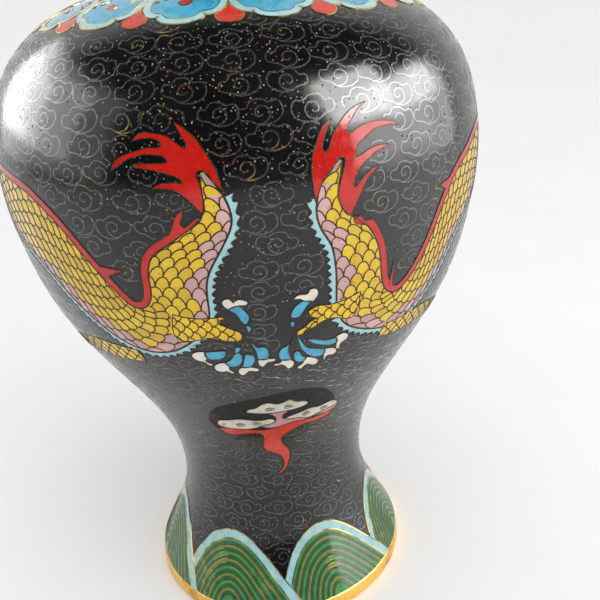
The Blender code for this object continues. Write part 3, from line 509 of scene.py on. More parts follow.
def closed_curve(points, step=OUTLINE_STEP):
    """A smooth closed curve through points."""
    lap = curve([*points, *points, *points, points[0]], step)
    start = round(len(lap) / 3)
    first = np.linalg.norm(lap[:2 * start] - points[0], axis=1)[start // 2:].argmin() + start // 2
    last = np.linalg.norm(lap - points[0], axis=1)[first + start // 2:].argmin()
    return lap[first:first + start // 2 + last]


def outline(runs):
    """A closed outline through runs; each run starts at a corner and is smooth after it."""
    pieces = [curve([*run, following[0]])[:-1]
              for run, following in zip(runs, [*runs[1:], runs[0]])]
    return np.concatenate(pieces)


def running(lengths):
    """How far along a path each of its points is, from the lengths of its steps."""
    return np.concatenate([[0], np.cumsum(lengths)])


SKIN_Z, SKIN_R = curve(PROFILE, PROFILE_STEP).T
SKIN_PLACE = running(np.hypot(np.diff(SKIN_Z), np.diff(SKIN_R)))
NORMAL_R = np.gradient(SKIN_Z, SKIN_PLACE)
NORMAL_Z = -np.gradient(SKIN_R, SKIN_PLACE)
FOOT_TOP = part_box("foot_rim")[1][2] / MM
SKIN_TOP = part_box("mouth_rim")[0][2] / MM
PHI, Z = 0, 1


def surface(points, lift=0.0):
    """Places on the skin as (x, y, z) in mm, raised by lift."""
    phi, z = np.radians(points[:, PHI]), points[:, Z]
    radius = np.interp(z, SKIN_Z, SKIN_R) + np.interp(z, SKIN_Z, NORMAL_R) * lift
    height = z + np.interp(z, SKIN_Z, NORMAL_Z) * lift
    return np.stack([radius * np.sin(phi), -radius * np.cos(phi), height], axis=1)


def radius_at(z):
    """The skin's radius at a height."""
    return np.interp(z, SKIN_Z, SKIN_R)


def mm_per_degree(z):
    """The length of one degree round the vase at a height."""
    return np.radians(1) * radius_at(z)


def up_skin(z, distance):
    """The height reached by going a distance up the skin from z."""
    return np.interp(np.interp(z, SKIN_Z, SKIN_PLACE) + distance, SKIN_PLACE, SKIN_Z)


def steps_along(path):
    """Lengths in mm of the steps between a path's points."""
    return np.linalg.norm(np.diff(surface(path), axis=0), axis=1)


def spaced(path, step):
    """The same path with its points an even step apart."""
    place = running(steps_along(path))
    wanted = np.linspace(0, place[-1], max(2, round(place[-1] / step) + 1))
    return np.stack([np.interp(wanted, place, path[:, axis]) for axis in (PHI, Z)], axis=1)


def shifted(path, distance, closed=False):
    """A path moved sideways along the skin, to the left of its direction."""
    scale = np.stack([mm_per_degree(path[:, Z]),
                      np.interp(path[:, Z], SKIN_Z, np.gradient(SKIN_PLACE, SKIN_Z))], axis=1)
    before, after = np.roll(path, 1, axis=0), np.roll(path, -1, axis=0)
    if not closed:
        before[0], after[-1] = path[0], path[-1]
    along = (after - before) * scale
    along /= np.maximum(np.linalg.norm(along, axis=1, keepdims=True), 1e-6)
    left = np.stack([-along[:, 1], along[:, 0]], axis=1)
    return path + left * np.reshape(distance, (-1, 1)) / scale


def area(path):
    """Signed area of a closed outline; positive when it runs anticlockwise."""
    following = np.roll(path, -1, axis=0)
    return np.sum(path[:, 0] * following[:, 1] - following[:, 0] * path[:, 1]) / 2


def grown(path, distance):
    """A closed outline moved outwards by a distance."""
    return shifted(path, -distance if area(path) > 0 else distance, closed=True)


def inside(points, loops):
    """Which points lie inside an odd number of closed loops."""
    odd = np.zeros(len(points), bool)
    for loop in loops:
        low, high = loop.min(axis=0), loop.max(axis=0)
        near = np.all((points >= low) & (points <= high), axis=1)
        if not near.any():
            continue
        x, y = points[near, 0, None], points[near, 1, None]
        start_x, start_y = loop.T
        end_x, end_y = np.roll(loop, -1, axis=0).T
        crosses = (start_y > y) != (end_y > y)
        rise = np.where(end_y == start_y, 1, end_y - start_y)
        beyond = x < start_x + (y - start_y) * (end_x - start_x) / rise
        odd[near] ^= (np.sum(crosses & beyond, axis=1) % 2).astype(bool)
    return odd


def covered(points, masks):
    """Which points lie inside any of the masks."""
    hidden = np.zeros(len(points), bool)
    for mask in masks:
        hidden |= inside(points, [mask])
    return hidden


def stretches(path, shown, least):
    """The parts of a path whose points are all shown, if they have the least number of points."""
    runs = []
    for i, seen in enumerate(shown):
        if seen and i and shown[i - 1]:
            runs[-1].append(path[i])
        elif seen:
            runs.append([path[i]])
    return [np.array(run) for run in runs if len(run) >= least]


def clipped(path, masks):
    """The stretches of a path that lie outside every mask."""
    return stretches(path, ~covered(path, masks), 3)


def within(path, loop):
    """The stretches of a path that lie inside a closed loop."""
    return stretches(path, inside(path, [loop]), 4)


def mirrored(runs):
    """A motif's runs or points, reflected in the plane phi = 0."""
    if isinstance(runs[0], (int, float)):
        return tuple(-value if i % 2 == 0 else value for i, value in enumerate(runs))
    return [mirrored(run) for run in runs]


def winding(centre, turn, size, squash=1.0):
    """A path round a centre on the skin: angles, distances in mm, squashed up and down."""
    wide = size / mm_per_degree(centre[Z])
    return np.stack([centre[PHI] + wide * np.cos(turn),
                     centre[Z] + squash * size * np.sin(turn)], axis=1)


def circle(centre, radius, squash=1.0):
    """A ring on the skin; squash flattens it up and down."""
    turn = np.linspace(0, 2 * math.pi, CIRCLE_CORNERS, endpoint=False)
    return winding(centre, turn, radius, squash)


def strip(path, width):
    """Outline of a band along an open path; width is a number or one for each point."""
    half = np.broadcast_to(np.asarray(width, float) / 2, (len(path),))
    return np.concatenate([shifted(path, half), shifted(path, -half)[::-1]])


# ---------------------------------------------------------------- meshes
def closed_plate(points, faces, lift):
    """Close a sheet of (phi, z) faces into a thin solid, as (points, faces)."""
    count = len(points)
    solid = np.concatenate([surface(points, lift), surface(points, -CELL_DEPTH)])
    around = {}
    for face in faces:
        for a, b in zip(face, [*face[1:], face[0]]):
            if around.pop((b, a), None) is None:
                around[(a, b)] = True
    made = [tuple(face) for face in faces]
    made += [tuple(i + count for i in reversed(face)) for face in faces]
    made += [(b, a, a + count, b + count) for a, b in around]
    return solid, made


def plate(loops, lift=CELL_LIFT, grid=CELL_GRID):
    """A thin cell that fills closed loops of (phi, z), as (points, faces)."""
    every = np.concatenate(loops)
    scale = mm_per_degree(every[:, Z].mean())
    flat = [np.stack([loop[:, PHI] * scale, np.interp(loop[:, Z], SKIN_Z, SKIN_PLACE)], axis=1)
            for loop in loops]
    edge = np.concatenate(flat)
    low, high = edge.min(axis=0), edge.max(axis=0)
    lines = [np.arange(a + grid / 2, b, grid) for a, b in zip(low, high)]
    inner = np.stack(np.meshgrid(*lines), axis=-1).reshape(-1, 2)
    inner = inner[inside(inner, flat)]
    if len(inner):
        apart = np.linalg.norm(inner[:, None] - edge[None], axis=2).min(axis=1)
        inner = inner[apart > grid * 0.35]
    links = []
    start = 0
    for loop in flat:
        size = len(loop)
        links += [(start + i, start + (i + 1) % size) for i in range(size)]
        start += size
    corners = [Vector(point) for point in np.concatenate([edge, inner])]
    found, _, faces, *_ = delaunay_2d_cdt(corners, links, [], 0, 1e-5)
    found = np.array([tuple(point) for point in found])
    faces = np.array(faces)
    faces = faces[inside(found[faces].mean(axis=1), flat)]
    a, b, c = found[faces[:, 0]], found[faces[:, 1]], found[faces[:, 2]]
    turn = (b - a)[:, 0] * (c - a)[:, 1] - (b - a)[:, 1] * (c - a)[:, 0]
    faces[turn < 0] = faces[turn < 0][:, ::-1]
    used, faces = np.unique(faces, return_inverse=True)
    found = found[used]
    points = np.stack([found[:, 0] / scale, np.interp(found[:, 1], SKIN_PLACE, SKIN_Z)], axis=1)
    if callable(lift):
        lift = lift(points)
    return closed_plate(points, faces.reshape(-1, 3).tolist(), lift)


def wire(path, closed=False, width=WIRE_WIDTH, top=WIRE_TOP, step=WIRE_STEP):
    """A closed wire along a path on the skin, as (points, faces)."""
    if closed:
        path = np.concatenate([path, path[:1]])
    path = spaced(path, step)
    if closed:
        path = path[:-1]
    base = surface(path)
    normal = surface(path, 1.0) - base
    before, after = np.roll(base, 1, axis=0), np.roll(base, -1, axis=0)
    if not closed:
        before[0], after[-1] = base[0], base[-1]
    side = np.cross(normal, after - before)
    side /= np.maximum(np.linalg.norm(side, axis=1, keepdims=True), 1e-9)
    corners = [base + side * width * across + normal * (WIRE_ROOT + (top - WIRE_ROOT) * rise)
               for across, rise in WIRE_SECTION]
    size = len(WIRE_SECTION)
    count = len(path)
    faces = []
    for i in range(count if closed else count - 1):
        here, there = i * size, (i + 1) % count * size
        for k in range(size):
            following = (k + 1) % size
            faces.append((here + k, here + following, there + following, there + k))
    if not closed:
        faces.append(tuple(reversed(range(size))))
        faces.append(tuple(range((count - 1) * size, count * size)))
    return np.stack(corners, axis=1).reshape(-1, 3), faces


def joined(parts):
    """Several (points, faces) as one."""
    points, faces = [], []
    start = 0
    for some_points, some_faces in parts:
        points.append(some_points)
        faces += [tuple(i + start for i in face) for face in some_faces]
        start += len(some_points)
    return np.concatenate(points), faces


def add_piece(name, parts, material, nodes=()):
    """A piece from a list of (points, faces); material may be a list, one for each part."""
    names = material if isinstance(material, list) else [material] * len(parts)
    order = list(dict.fromkeys(names))
    points, faces = joined(parts)
    mesh = bpy.data.meshes.new(name)
    mesh.from_pydata((points * MM).tolist(), [], faces)
    for one in order:
        mesh.materials.append(MATERIALS[one])
    index = np.concatenate([[order.index(one)] * len(part[1])
                            for one, part in zip(names, parts)])
    mesh.polygons.foreach_set("material_index", index.astype(np.int32))
    mesh.shade_smooth()
    mesh.set_sharp_from_angle(angle=math.radians(EDGE_ANGLE))
    piece = bpy.data.objects.new(name, mesh)
    bpy.context.scene.collection.objects.link(piece)
    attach(piece, "root")
    if nodes:
        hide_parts(*nodes)
    return piece


def lathe(section):
    """A closed (radius, z) section turned about the axis, as (points, faces)."""
    section = np.array(section)
    turn = np.linspace(0, 2 * math.pi, SEGMENTS, endpoint=False)[:, None]
    radius, height = section.T
    points = np.stack([radius * np.sin(turn), -radius * np.cos(turn),
                       np.broadcast_to(height, (SEGMENTS, len(height)))], axis=2)
    size = len(section)
    faces = []
    for i in range(SEGMENTS):
        here, there = i * size, (i + 1) % SEGMENTS * size
        for k in range(size):
            following = (k + 1) % size
            faces.append((here + k, there + k, there + following, here + following))
    return points.reshape(-1, 3), faces


def shell_section(low, high, depth, thickness, step=SKIN_STEP):
    """Section of a shell between two heights, at a depth under the skin."""
    count = max(2, round((high - low) / step))
    heights = np.linspace(low, high, count + 1)
    sides = []
    for under in (depth, depth + thickness):
        radius = np.interp(heights, SKIN_Z, SKIN_R - NORMAL_R * under)
        z = np.interp(heights, SKIN_Z, SKIN_Z - NORMAL_Z * under)
        z = np.clip(z, low, high)
        sides.append(list(zip(radius, z)))
    return sides[1] + sides[0][::-1]


def rounded_ring(low, high, inner, outer, bend, lean):
    """Section of a rim with rounded corners; lean widens its lower edge."""
    section = []
    for radius, height, start in ((inner, low, 180), (outer + lean, low, 270),
                                  (outer, high, 0), (inner, high, 90)):
        centre_r = radius + (bend if radius == inner else -bend)
        centre_z = height + (bend if height == low else -bend)
        for step in range(RIM_STEPS + 1):
            angle = math.radians(start + 90 * step / RIM_STEPS)
            section.append((centre_r + bend * math.cos(angle),
                            centre_z + bend * math.sin(angle)))
    return section[::-1]


# ---------------------------------------------------------------- materials
SPECK_HEART = (2.0, -62.0, 164.0)      # where the ground's specks are thickest
SPECK_REACH = (10.0, 46.0)             # mm over which they thin out
SPECK_SHARE = (0.85, 0.14)             # of the cells, at the heart and away from it
SPECK_SIZE = (1.1, 0.22)               # cells in a mm, and a speck's radius
GROUND_PIT_SIZE = (0.80, 0.24)
PIT_SIZE = (0.85, 0.21)
SCALE_PIT_SIZE = (0.8, 0.19)
GLASS_MIRROR = 0.5
SPOT_LOSS = 0.45        # how much less a pit or speck mirrors
SPOT_ROUGHNESS = 0.8
GLASS_RELIEF = 0.10     # depth of the ripples and pits, in mm
GROUND_RELIEF = 0.12
METAL_RELIEF = 0.02
PATCH_RELIEF = 0.35
PATCH_MIRROR = 0.28
RUST_EDGE = (-16.8, -13.2)             # x over which the patch's rust fades out


def node(tree, kind, inputs=None, **settings):
    """A shader node with its settings, input values and links."""
    made = tree.nodes.new(kind)
    for key, value in settings.items():
        setattr(made, key, value)
    for socket, value in (inputs or {}).items():
        if isinstance(value, bpy.types.NodeSocket):
            tree.links.new(value, made.inputs[socket])
        else:
            made.inputs[socket].default_value = value
    return made


def place_in_mm(tree):
    """Where a point is on the object, in mm."""
    where = node(tree, "ShaderNodeTexCoord").outputs["Object"]
    return node(tree, "ShaderNodeVectorMath", {0: where, "Scale": 1000.0},
                operation="SCALE").outputs[0]


def noise(tree, where, per_mm, detail=3.0, roughness=0.55):
    """Cloudy values from 0 to 1, with so many waves in a mm."""
    return node(tree, "ShaderNodeTexNoise", {"Vector": where, "Scale": per_mm,
                "Detail": detail, "Roughness": roughness}).outputs["Fac"]


def between(tree, value, low, high, to_low=0.0, to_high=1.0):
    """A value rescaled smoothly from low..high to another range."""
    return node(tree, "ShaderNodeMapRange", {"Value": value, 1: low, 2: high, 3: to_low,
                4: to_high}, interpolation_type="SMOOTHSTEP").outputs[0]


def maths(tree, operation, a, b):
    """The outcome of a sum, a product or a comparison of two values."""
    return node(tree, "ShaderNodeMath", {0: a, 1: b}, operation=operation).outputs[0]


def mix(tree, factor, a, b):
    """Colour a, or b where the factor is 1."""
    a, b = [(*c, 1.0) if isinstance(c, tuple) and len(c) == 3 else c for c in (a, b)]
    return node(tree, "ShaderNodeMix", {0: factor, 6: a, 7: b}, data_type="RGBA").outputs[2]


def spots(tree, where, size, share):
    """Round spots in a share of the cells, as (mask, random channels)."""
    per_mm, radius = size
    cells = node(tree, "ShaderNodeTexVoronoi", {"Vector": where, "Scale": per_mm,
                 "Randomness": 1.0})
    channels = node(tree, "ShaderNodeSeparateColor", {"Color": cells.outputs["Color"]})
    near = between(tree, cells.outputs["Distance"], radius * per_mm * 0.6, radius * per_mm,
                   1.0, 0.0)
    chosen = maths(tree, "LESS_THAN", channels.outputs[0], share)
    return maths(tree, "MULTIPLY", near, chosen), channels


def new_material(name):
    """A material with its node tree and its shader."""
    material = bpy.data.materials.new(name)
    material.use_nodes = True
    tree = material.node_tree
    return material, tree, tree.nodes["Principled BSDF"]


def finish_surface(tree, shader, colour, roughness, height, depth_mm):
    """Link a material's colour, roughness and relief to its shader."""
    tree.links.new(colour, shader.inputs["Base Color"])
    tree.links.new(roughness, shader.inputs["Roughness"])
    bump = node(tree, "ShaderNodeBump", {"Height": height, "Distance": depth_mm * MM,
                "Strength": 1.0})
    tree.links.new(bump.outputs[0], shader.inputs["Normal"])


def dulled(tree, shader, gloss, mask):
    """Roughness with dull spots; the spots also mirror less than the polished glass."""
    shine = maths(tree, "SUBTRACT", GLASS_MIRROR, maths(tree, "MULTIPLY", mask, SPOT_LOSS))
    tree.links.new(shine, shader.inputs["Specular IOR Level"])
    return maths(tree, "MAXIMUM", gloss, maths(tree, "MULTIPLY", mask, SPOT_ROUGHNESS))


def enamel(name, colour, shade, pit_colour=(0.02, 0.015, 0.01), pits=0.22, dab=None):
    """Polished glass enamel: mottled colour, pits, and a slightly uneven gloss."""
    material, tree, shader = new_material(name)
    where = place_in_mm(tree)
    mottle = between(tree, noise(tree, where, 0.35, 4), 0.38, 0.66)
    fine = between(tree, noise(tree, where, 2.6, 2), 0.35, 0.75)
    body = mix(tree, mottle, colour, shade)
    paler = tuple(min(1.0, channel * 1.25 + 0.01) for channel in colour)
    body = mix(tree, maths(tree, "MULTIPLY", fine, 0.35), body, paler)
    if dab:
        dabs = between(tree, noise(tree, where, 0.55, 3), 0.6, 0.74)
        body = mix(tree, dabs, body, dab)
    pit, _ = spots(tree, where, PIT_SIZE, pits)
    body = mix(tree, maths(tree, "MULTIPLY", pit, 0.85), body, pit_colour)
    ripple = noise(tree, where, 0.16, 2)
    height = maths(tree, "SUBTRACT", ripple, maths(tree, "MULTIPLY", pit, 0.6))
    gloss = between(tree, noise(tree, where, 0.6, 4), 0.3, 0.8, 0.10, 0.22)
    gloss = dulled(tree, shader, gloss, pit)
    finish_surface(tree, shader, body, gloss, height, GLASS_RELIEF)
    return material


def black_ground():
    """Black enamel with specks of other colours, most of them high on the front."""
    material, tree, shader = new_material("black_enamel")
    where = place_in_mm(tree)
    cloudy = between(tree, noise(tree, where, 0.09, 4), 0.35, 0.7)
    body = mix(tree, cloudy, (0.0022, 0.0022, 0.003), (0.0055, 0.0050, 0.006))
    apart = node(tree, "ShaderNodeVectorMath", {0: where, 1: SPECK_HEART},
                 operation="DISTANCE").outputs["Value"]
    crowded = between(tree, apart, *SPECK_REACH, *SPECK_SHARE)
    patches = between(tree, noise(tree, where, 0.05, 2), 0.5, 0.7, 0.0, 0.16)
    speck, channels = spots(tree, where, SPECK_SIZE, maths(tree, "ADD", crowded, patches))
    pale = mix(tree, channels.outputs[1], (0.10, 0.095, 0.07), (0.46, 0.45, 0.33))
    red = maths(tree, "GREATER_THAN", channels.outputs[2], 0.93)
    gold = maths(tree, "LESS_THAN", channels.outputs[2], 0.14)
    speckle = mix(tree, red, mix(tree, gold, pale, (0.45, 0.27, 0.03)), (0.45, 0.03, 0.02))
    body = mix(tree, maths(tree, "MULTIPLY", speck, 0.8), body, speckle)
    pit, _ = spots(tree, where, GROUND_PIT_SIZE, 0.22)
    ripple = noise(tree, where, 0.13, 2)
    height = maths(tree, "SUBTRACT", ripple, maths(tree, "MULTIPLY", pit, 0.9))
    gloss = between(tree, noise(tree, where, 0.35, 4), 0.3, 0.8, 0.13, 0.24)
    gloss = dulled(tree, shader, gloss, maths(tree, "MAXIMUM", speck, pit))
    finish_surface(tree, shader, body, gloss, height, GROUND_RELIEF)
    return material


def scale_enamel():
    """The dragons' scales: yellow, or lilac along the belly, with orange at their roots."""
    material, tree, shader = new_material("scale_enamel")
    where = place_in_mm(tree)
    tint = node(tree, "ShaderNodeVertexColor", layer_name="scale_tint").outputs["Color"]
    channels = node(tree, "ShaderNodeSeparateColor", {"Color": tint})
    lilac, root, chance = channels.outputs[0], channels.outputs[1], channels.outputs[2]
    yellow = mix(tree, chance, (0.55, 0.345, 0.006), (0.70, 0.475, 0.010))
    pink = mix(tree, chance, (0.42, 0.24, 0.28), (0.62, 0.36, 0.38))
    wander = maths(tree, "ADD", root, between(tree, noise(tree, where, 0.9, 3), 0.3, 0.75,
                                               -0.38, 0.38))
    body = mix(tree, lilac, yellow, pink)
    orange = mix(tree, lilac, (0.55, 0.20, 0.008), (0.50, 0.22, 0.06))
    body = mix(tree, between(tree, wander, 0.62, 1.05, 0.0, 0.75), body, orange)
    fine = between(tree, noise(tree, where, 2.2, 3), 0.4, 0.75)
    body = mix(tree, maths(tree, "MULTIPLY", fine, 0.3), body, (0.72, 0.55, 0.10))
    pit, _ = spots(tree, where, SCALE_PIT_SIZE, 0.3)
    body = mix(tree, maths(tree, "MULTIPLY", pit, 0.8), body, (0.10, 0.04, 0.01))
    height = maths(tree, "SUBTRACT", noise(tree, where, 0.18, 2),
                   maths(tree, "MULTIPLY", pit, 0.6))
    gloss = between(tree, noise(tree, where, 0.6, 4), 0.3, 0.8, 0.12, 0.26)
    finish_surface(tree, shader, body, gloss, height, GLASS_RELIEF)
    return material


def metal(name, bright, dull, bright_share, roughness, metallic, scratch=0.0, mirror=0.5):
    """Metal bright in patches and dull elsewhere: painted glints on the wires, wear on the gilt
    and copper.
    """
    material, tree, shader = new_material(name)
    where = place_in_mm(tree)
    patch = noise(tree, where, 0.11, 5, 0.6)
    edge = 0.78 - 0.5 * bright_share
    # Bright patches: painted glints on the wires; on the gilt and copper, metal that is not worn.
    shine = between(tree, patch, edge - 0.05, edge + 0.07)
    body = mix(tree, shine, dull, bright)
    grain = noise(tree, where, 1.7, 4)
    body = mix(tree, between(tree, grain, 0.45, 0.8, 0.0, 0.5), body,
               tuple(channel * 0.55 for channel in bright))
    low, high = roughness
    gloss = between(tree, grain, 0.3, 0.75, low, high)
    height = noise(tree, where, 3.0, 3)
    shader.inputs["Metallic"].default_value = metallic
    shader.inputs["Specular IOR Level"].default_value = mirror
    finish_surface(tree, shader, body, gloss, height, METAL_RELIEF + scratch)
    return material


def bare_patch():
    """The rough, dull black round the waist cloud, rusty towards its left edge."""
    material, tree, shader = new_material("dull_black")
    where = place_in_mm(tree)
    coarse = noise(tree, where, 0.5, 5, 0.7)
    body = mix(tree, between(tree, coarse, 0.4, 0.7), (0.0025, 0.003, 0.003),
               (0.010, 0.011, 0.010))
    shader.inputs["Specular IOR Level"].default_value = PATCH_MIRROR
    side = node(tree, "ShaderNodeSeparateXYZ", {0: where}).outputs[0]
    rusty = maths(tree, "MULTIPLY", between(tree, side, *RUST_EDGE, 1.0, 0.0),
                  between(tree, noise(tree, where, 0.8, 4), 0.42, 0.62))
    body = mix(tree, rusty, body, (0.09, 0.032, 0.014))
    gloss = between(tree, coarse, 0.3, 0.8, 0.42, 0.75)
    finish_surface(tree, shader, body, gloss, coarse, PATCH_RELIEF)
    return material


def make_materials():
    """Every material by its short name."""
    return {
        "black": black_ground(),
        "scales": scale_enamel(),
        "yellow": enamel("yellow_enamel", (0.74, 0.50, 0.015), (0.62, 0.36, 0.012),
                         dab=(0.50, 0.20, 0.01)),
        "red": enamel("red_enamel", (0.50, 0.009, 0.003), (0.40, 0.007, 0.003),
                      pit_colour=(0.10, 0.045, 0.02), pits=0.5),
        "red_over": enamel("red_drop_enamel", (0.55, 0.030, 0.012), (0.42, 0.020, 0.012)),
        "turquoise": enamel("turquoise_enamel", (0.065, 0.36, 0.52), (0.03, 0.25, 0.41)),
        "pale_blue": enamel("pale_blue_enamel", (0.33, 0.56, 0.58), (0.25, 0.46, 0.50),
                            pits=0.4),
        "lilac": enamel("lilac_enamel", (0.52, 0.24, 0.28), (0.44, 0.20, 0.25)),
        "white": enamel("white_enamel", (0.72, 0.68, 0.60), (0.60, 0.55, 0.47)),
        "cloud_white": enamel("cloud_white_enamel", (0.60, 0.57, 0.50), (0.50, 0.46, 0.38),
                              dab=(0.42, 0.22, 0.07)),
        "green": enamel("bright_green_enamel", (0.085, 0.27, 0.085), (0.055, 0.20, 0.07)),
        "dark_green": enamel("dark_green_enamel", (0.032, 0.13, 0.055), (0.022, 0.095, 0.04)),
        "olive": enamel("olive_enamel", (0.21, 0.24, 0.055), (0.14, 0.18, 0.045),
                        dab=(0.26, 0.17, 0.02)),
        "maroon": enamel("maroon_enamel", (0.075, 0.012, 0.008), (0.045, 0.009, 0.007)),
        "lining": enamel("counter_enamel", (0.025, 0.22, 0.27), (0.018, 0.15, 0.20),
                         pits=0.5),
        "patch": bare_patch(),
        # The wires' bright patches are painted glints.
        "wire": metal("dark_wire", (0.62, 0.40, 0.10), (0.018, 0.014, 0.010), 0.12,
                      (0.35, 0.6), 0.55),
        "gold_wire": metal("gold_wire", (0.72, 0.48, 0.13), (0.10, 0.065, 0.025), 0.62,
                           (0.28, 0.5), 0.85),
        "cloud_wire": metal("cloud_wire", (0.38, 0.22, 0.045), (0.026, 0.028, 0.030), 0.22,
                            (0.20, 0.30), 0.0, mirror=1.0),
        "stripe_wire": metal("stripe_wire", (0.66, 0.44, 0.10), (0.030, 0.050, 0.025), 0.34,
                             (0.3, 0.5), 0.4),
        "gilt": metal("gilt", (0.80, 0.50, 0.12), (0.55, 0.31, 0.06), 0.75, (0.24, 0.42), 1.0,
                      scratch=0.03),
        "copper": metal("copper", (0.72, 0.36, 0.20), (0.30, 0.13, 0.07), 0.5, (0.35, 0.6),
                        1.0),
    }


MATERIALS = make_materials()
WIRE_METALS = {"collar_wires": "gold_wire", "wave_border_wires": "gold_wire",
               "neck_wires": "gold_wire", "wave_stripe_wires": "stripe_wire"}
WIRES = {}


def set_wire(group, path, closed=False, **sizes):
    """Keep a wire for one of the wire pieces made at the end."""
    WIRES.setdefault(group, []).append(wire(path, closed, **sizes))


# ---------------------------------------------------------------- turned parts
def build_turned():
    """The black skin, the copper under it, the lining, the discs and the rims."""
    body_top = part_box("ground_enamel_neck")[0][2] / MM - GAP / 2
    grounds = [
        ("ground_enamel_body", FOOT_TOP + GAP / 2, body_top),
        ("ground_enamel_neck", body_top, SKIN_TOP - GAP / 2),
    ]
    for name, low, high in grounds:
        add_piece(f"{name}_skin", [lathe(shell_section(low, high, 0, ENAMEL))],
                  "black", [name])
    for name in ("copper_foot", "copper_belly", "copper_shoulder", "copper_neck"):
        low, high = (corner[2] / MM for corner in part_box(name))
        section = shell_section(low, high, ENAMEL + GAP, COPPER, WALL_STEP)
        add_piece(f"{name}_wall", [lathe(section)], "copper", [name])
    low, high = (corner[2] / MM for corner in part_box("interior_enamel"))
    section = shell_section(low, high, ENAMEL + COPPER + 2 * GAP, LINING, LINING_STEP)
    inner, outer = section[:len(section) // 2], section[len(section) // 2:]
    inner[0] = (inner[0][0], low + LINING)
    section = [(AXIS_HOLE, low + LINING), *inner, *outer, (AXIS_HOLE, low)]
    add_piece("interior_enamel_coat", [lathe(section)], "lining",
              ["interior_enamel"])
    for name, material, slot in (("base_plate", "copper", "copper"),
                                 ("base_enamel", "lining", "counter_enamel")):
        low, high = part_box(name)
        bottom, top, radius = low[2] / MM, high[2] / MM, high[0] / MM
        rings = np.linspace(AXIS_HOLE, radius, DISC_RINGS)
        dish = [(r, bottom + DISC_HOLLOW * (1 - (r / radius) ** 2)) for r in rings]
        section = [*dish[::-1], *[(r, top) for r in rings]]
        add_piece(f"{name}_disc", [lathe(section[::-1])], material, [name])
    for name, inner, bend, lean in RIMS:
        low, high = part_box(name)
        outer = high[0] / MM - lean
        section = rounded_ring(low[2] / MM, high[2] / MM, inner, outer, bend, lean)
        add_piece(f"{name}_gilt", [lathe(section)], "gilt", [name])


# ---------------------------------------------------------------- dragons
def along_body(stations):
    """Even stations down a body: (ridge path, belly path, place along it, its width)."""
    dense = curve(stations, 0.8)
    ridge, belly = dense[:, :2], dense[:, 2:]
    middle = (surface(ridge) + surface(belly)) / 2
    place = running(np.linalg.norm(np.diff(middle, axis=0), axis=1))
    wanted = np.linspace(0, place[-1], round(place[-1] / BODY_GRID) + 1)
    even = np.stack([np.interp(wanted, place, dense[:, k]) for k in range(4)], axis=1)
    ridge, belly = even[:, :2], even[:, 2:]
    width = np.linalg.norm(surface(ridge) - surface(belly), axis=1)
    return ridge, belly, wanted, width


def scale_front(x, row):
    """How far along the body the rounded front of a row of scales lies, x mm from the belly."""
    shift = (np.asarray(row) % 2) * SCALE_WIDTH / 2
    share = (x - shift) / SCALE_WIDTH
    off_centre = 2 * (share - np.floor(share)) - 1
    return np.asarray(row) * SCALE_ROW - SCALE_ROW * np.sqrt(np.clip(1 - off_centre ** 2, 0, 1))


def scale_tint(x, y, wide):
    """Colour channels of the scales at x mm from the belly line and y mm along the body."""
    first = np.floor(y / SCALE_ROW)
    row = first
    for later in (1, 2):
        row = np.where(y > scale_front(x, first + later), first + later, row)
    shift = (row % 2) * SCALE_WIDTH / 2
    column = np.floor((x - shift) / SCALE_WIDTH)
    middle = (column + 0.5) * SCALE_WIDTH + shift
    by_row, by_column, size = SCRAMBLE
    chance = np.mod(np.sin(row * by_row + column * by_column) * size, 1.0)
    band = np.minimum(LILAC_BAND - LILAC_STEP * (chance > LILAC_STEADY), LILAC_SHARE * wide)
    lilac = (middle < band).astype(float)
    root = (y - (row - 1) * SCALE_ROW) / (2 * SCALE_ROW)
    side = np.abs(x - middle) / SCALE_WIDTH
    return np.stack([lilac, np.clip(root + side, 0, 1), chance, np.ones_like(x)], axis=-1)


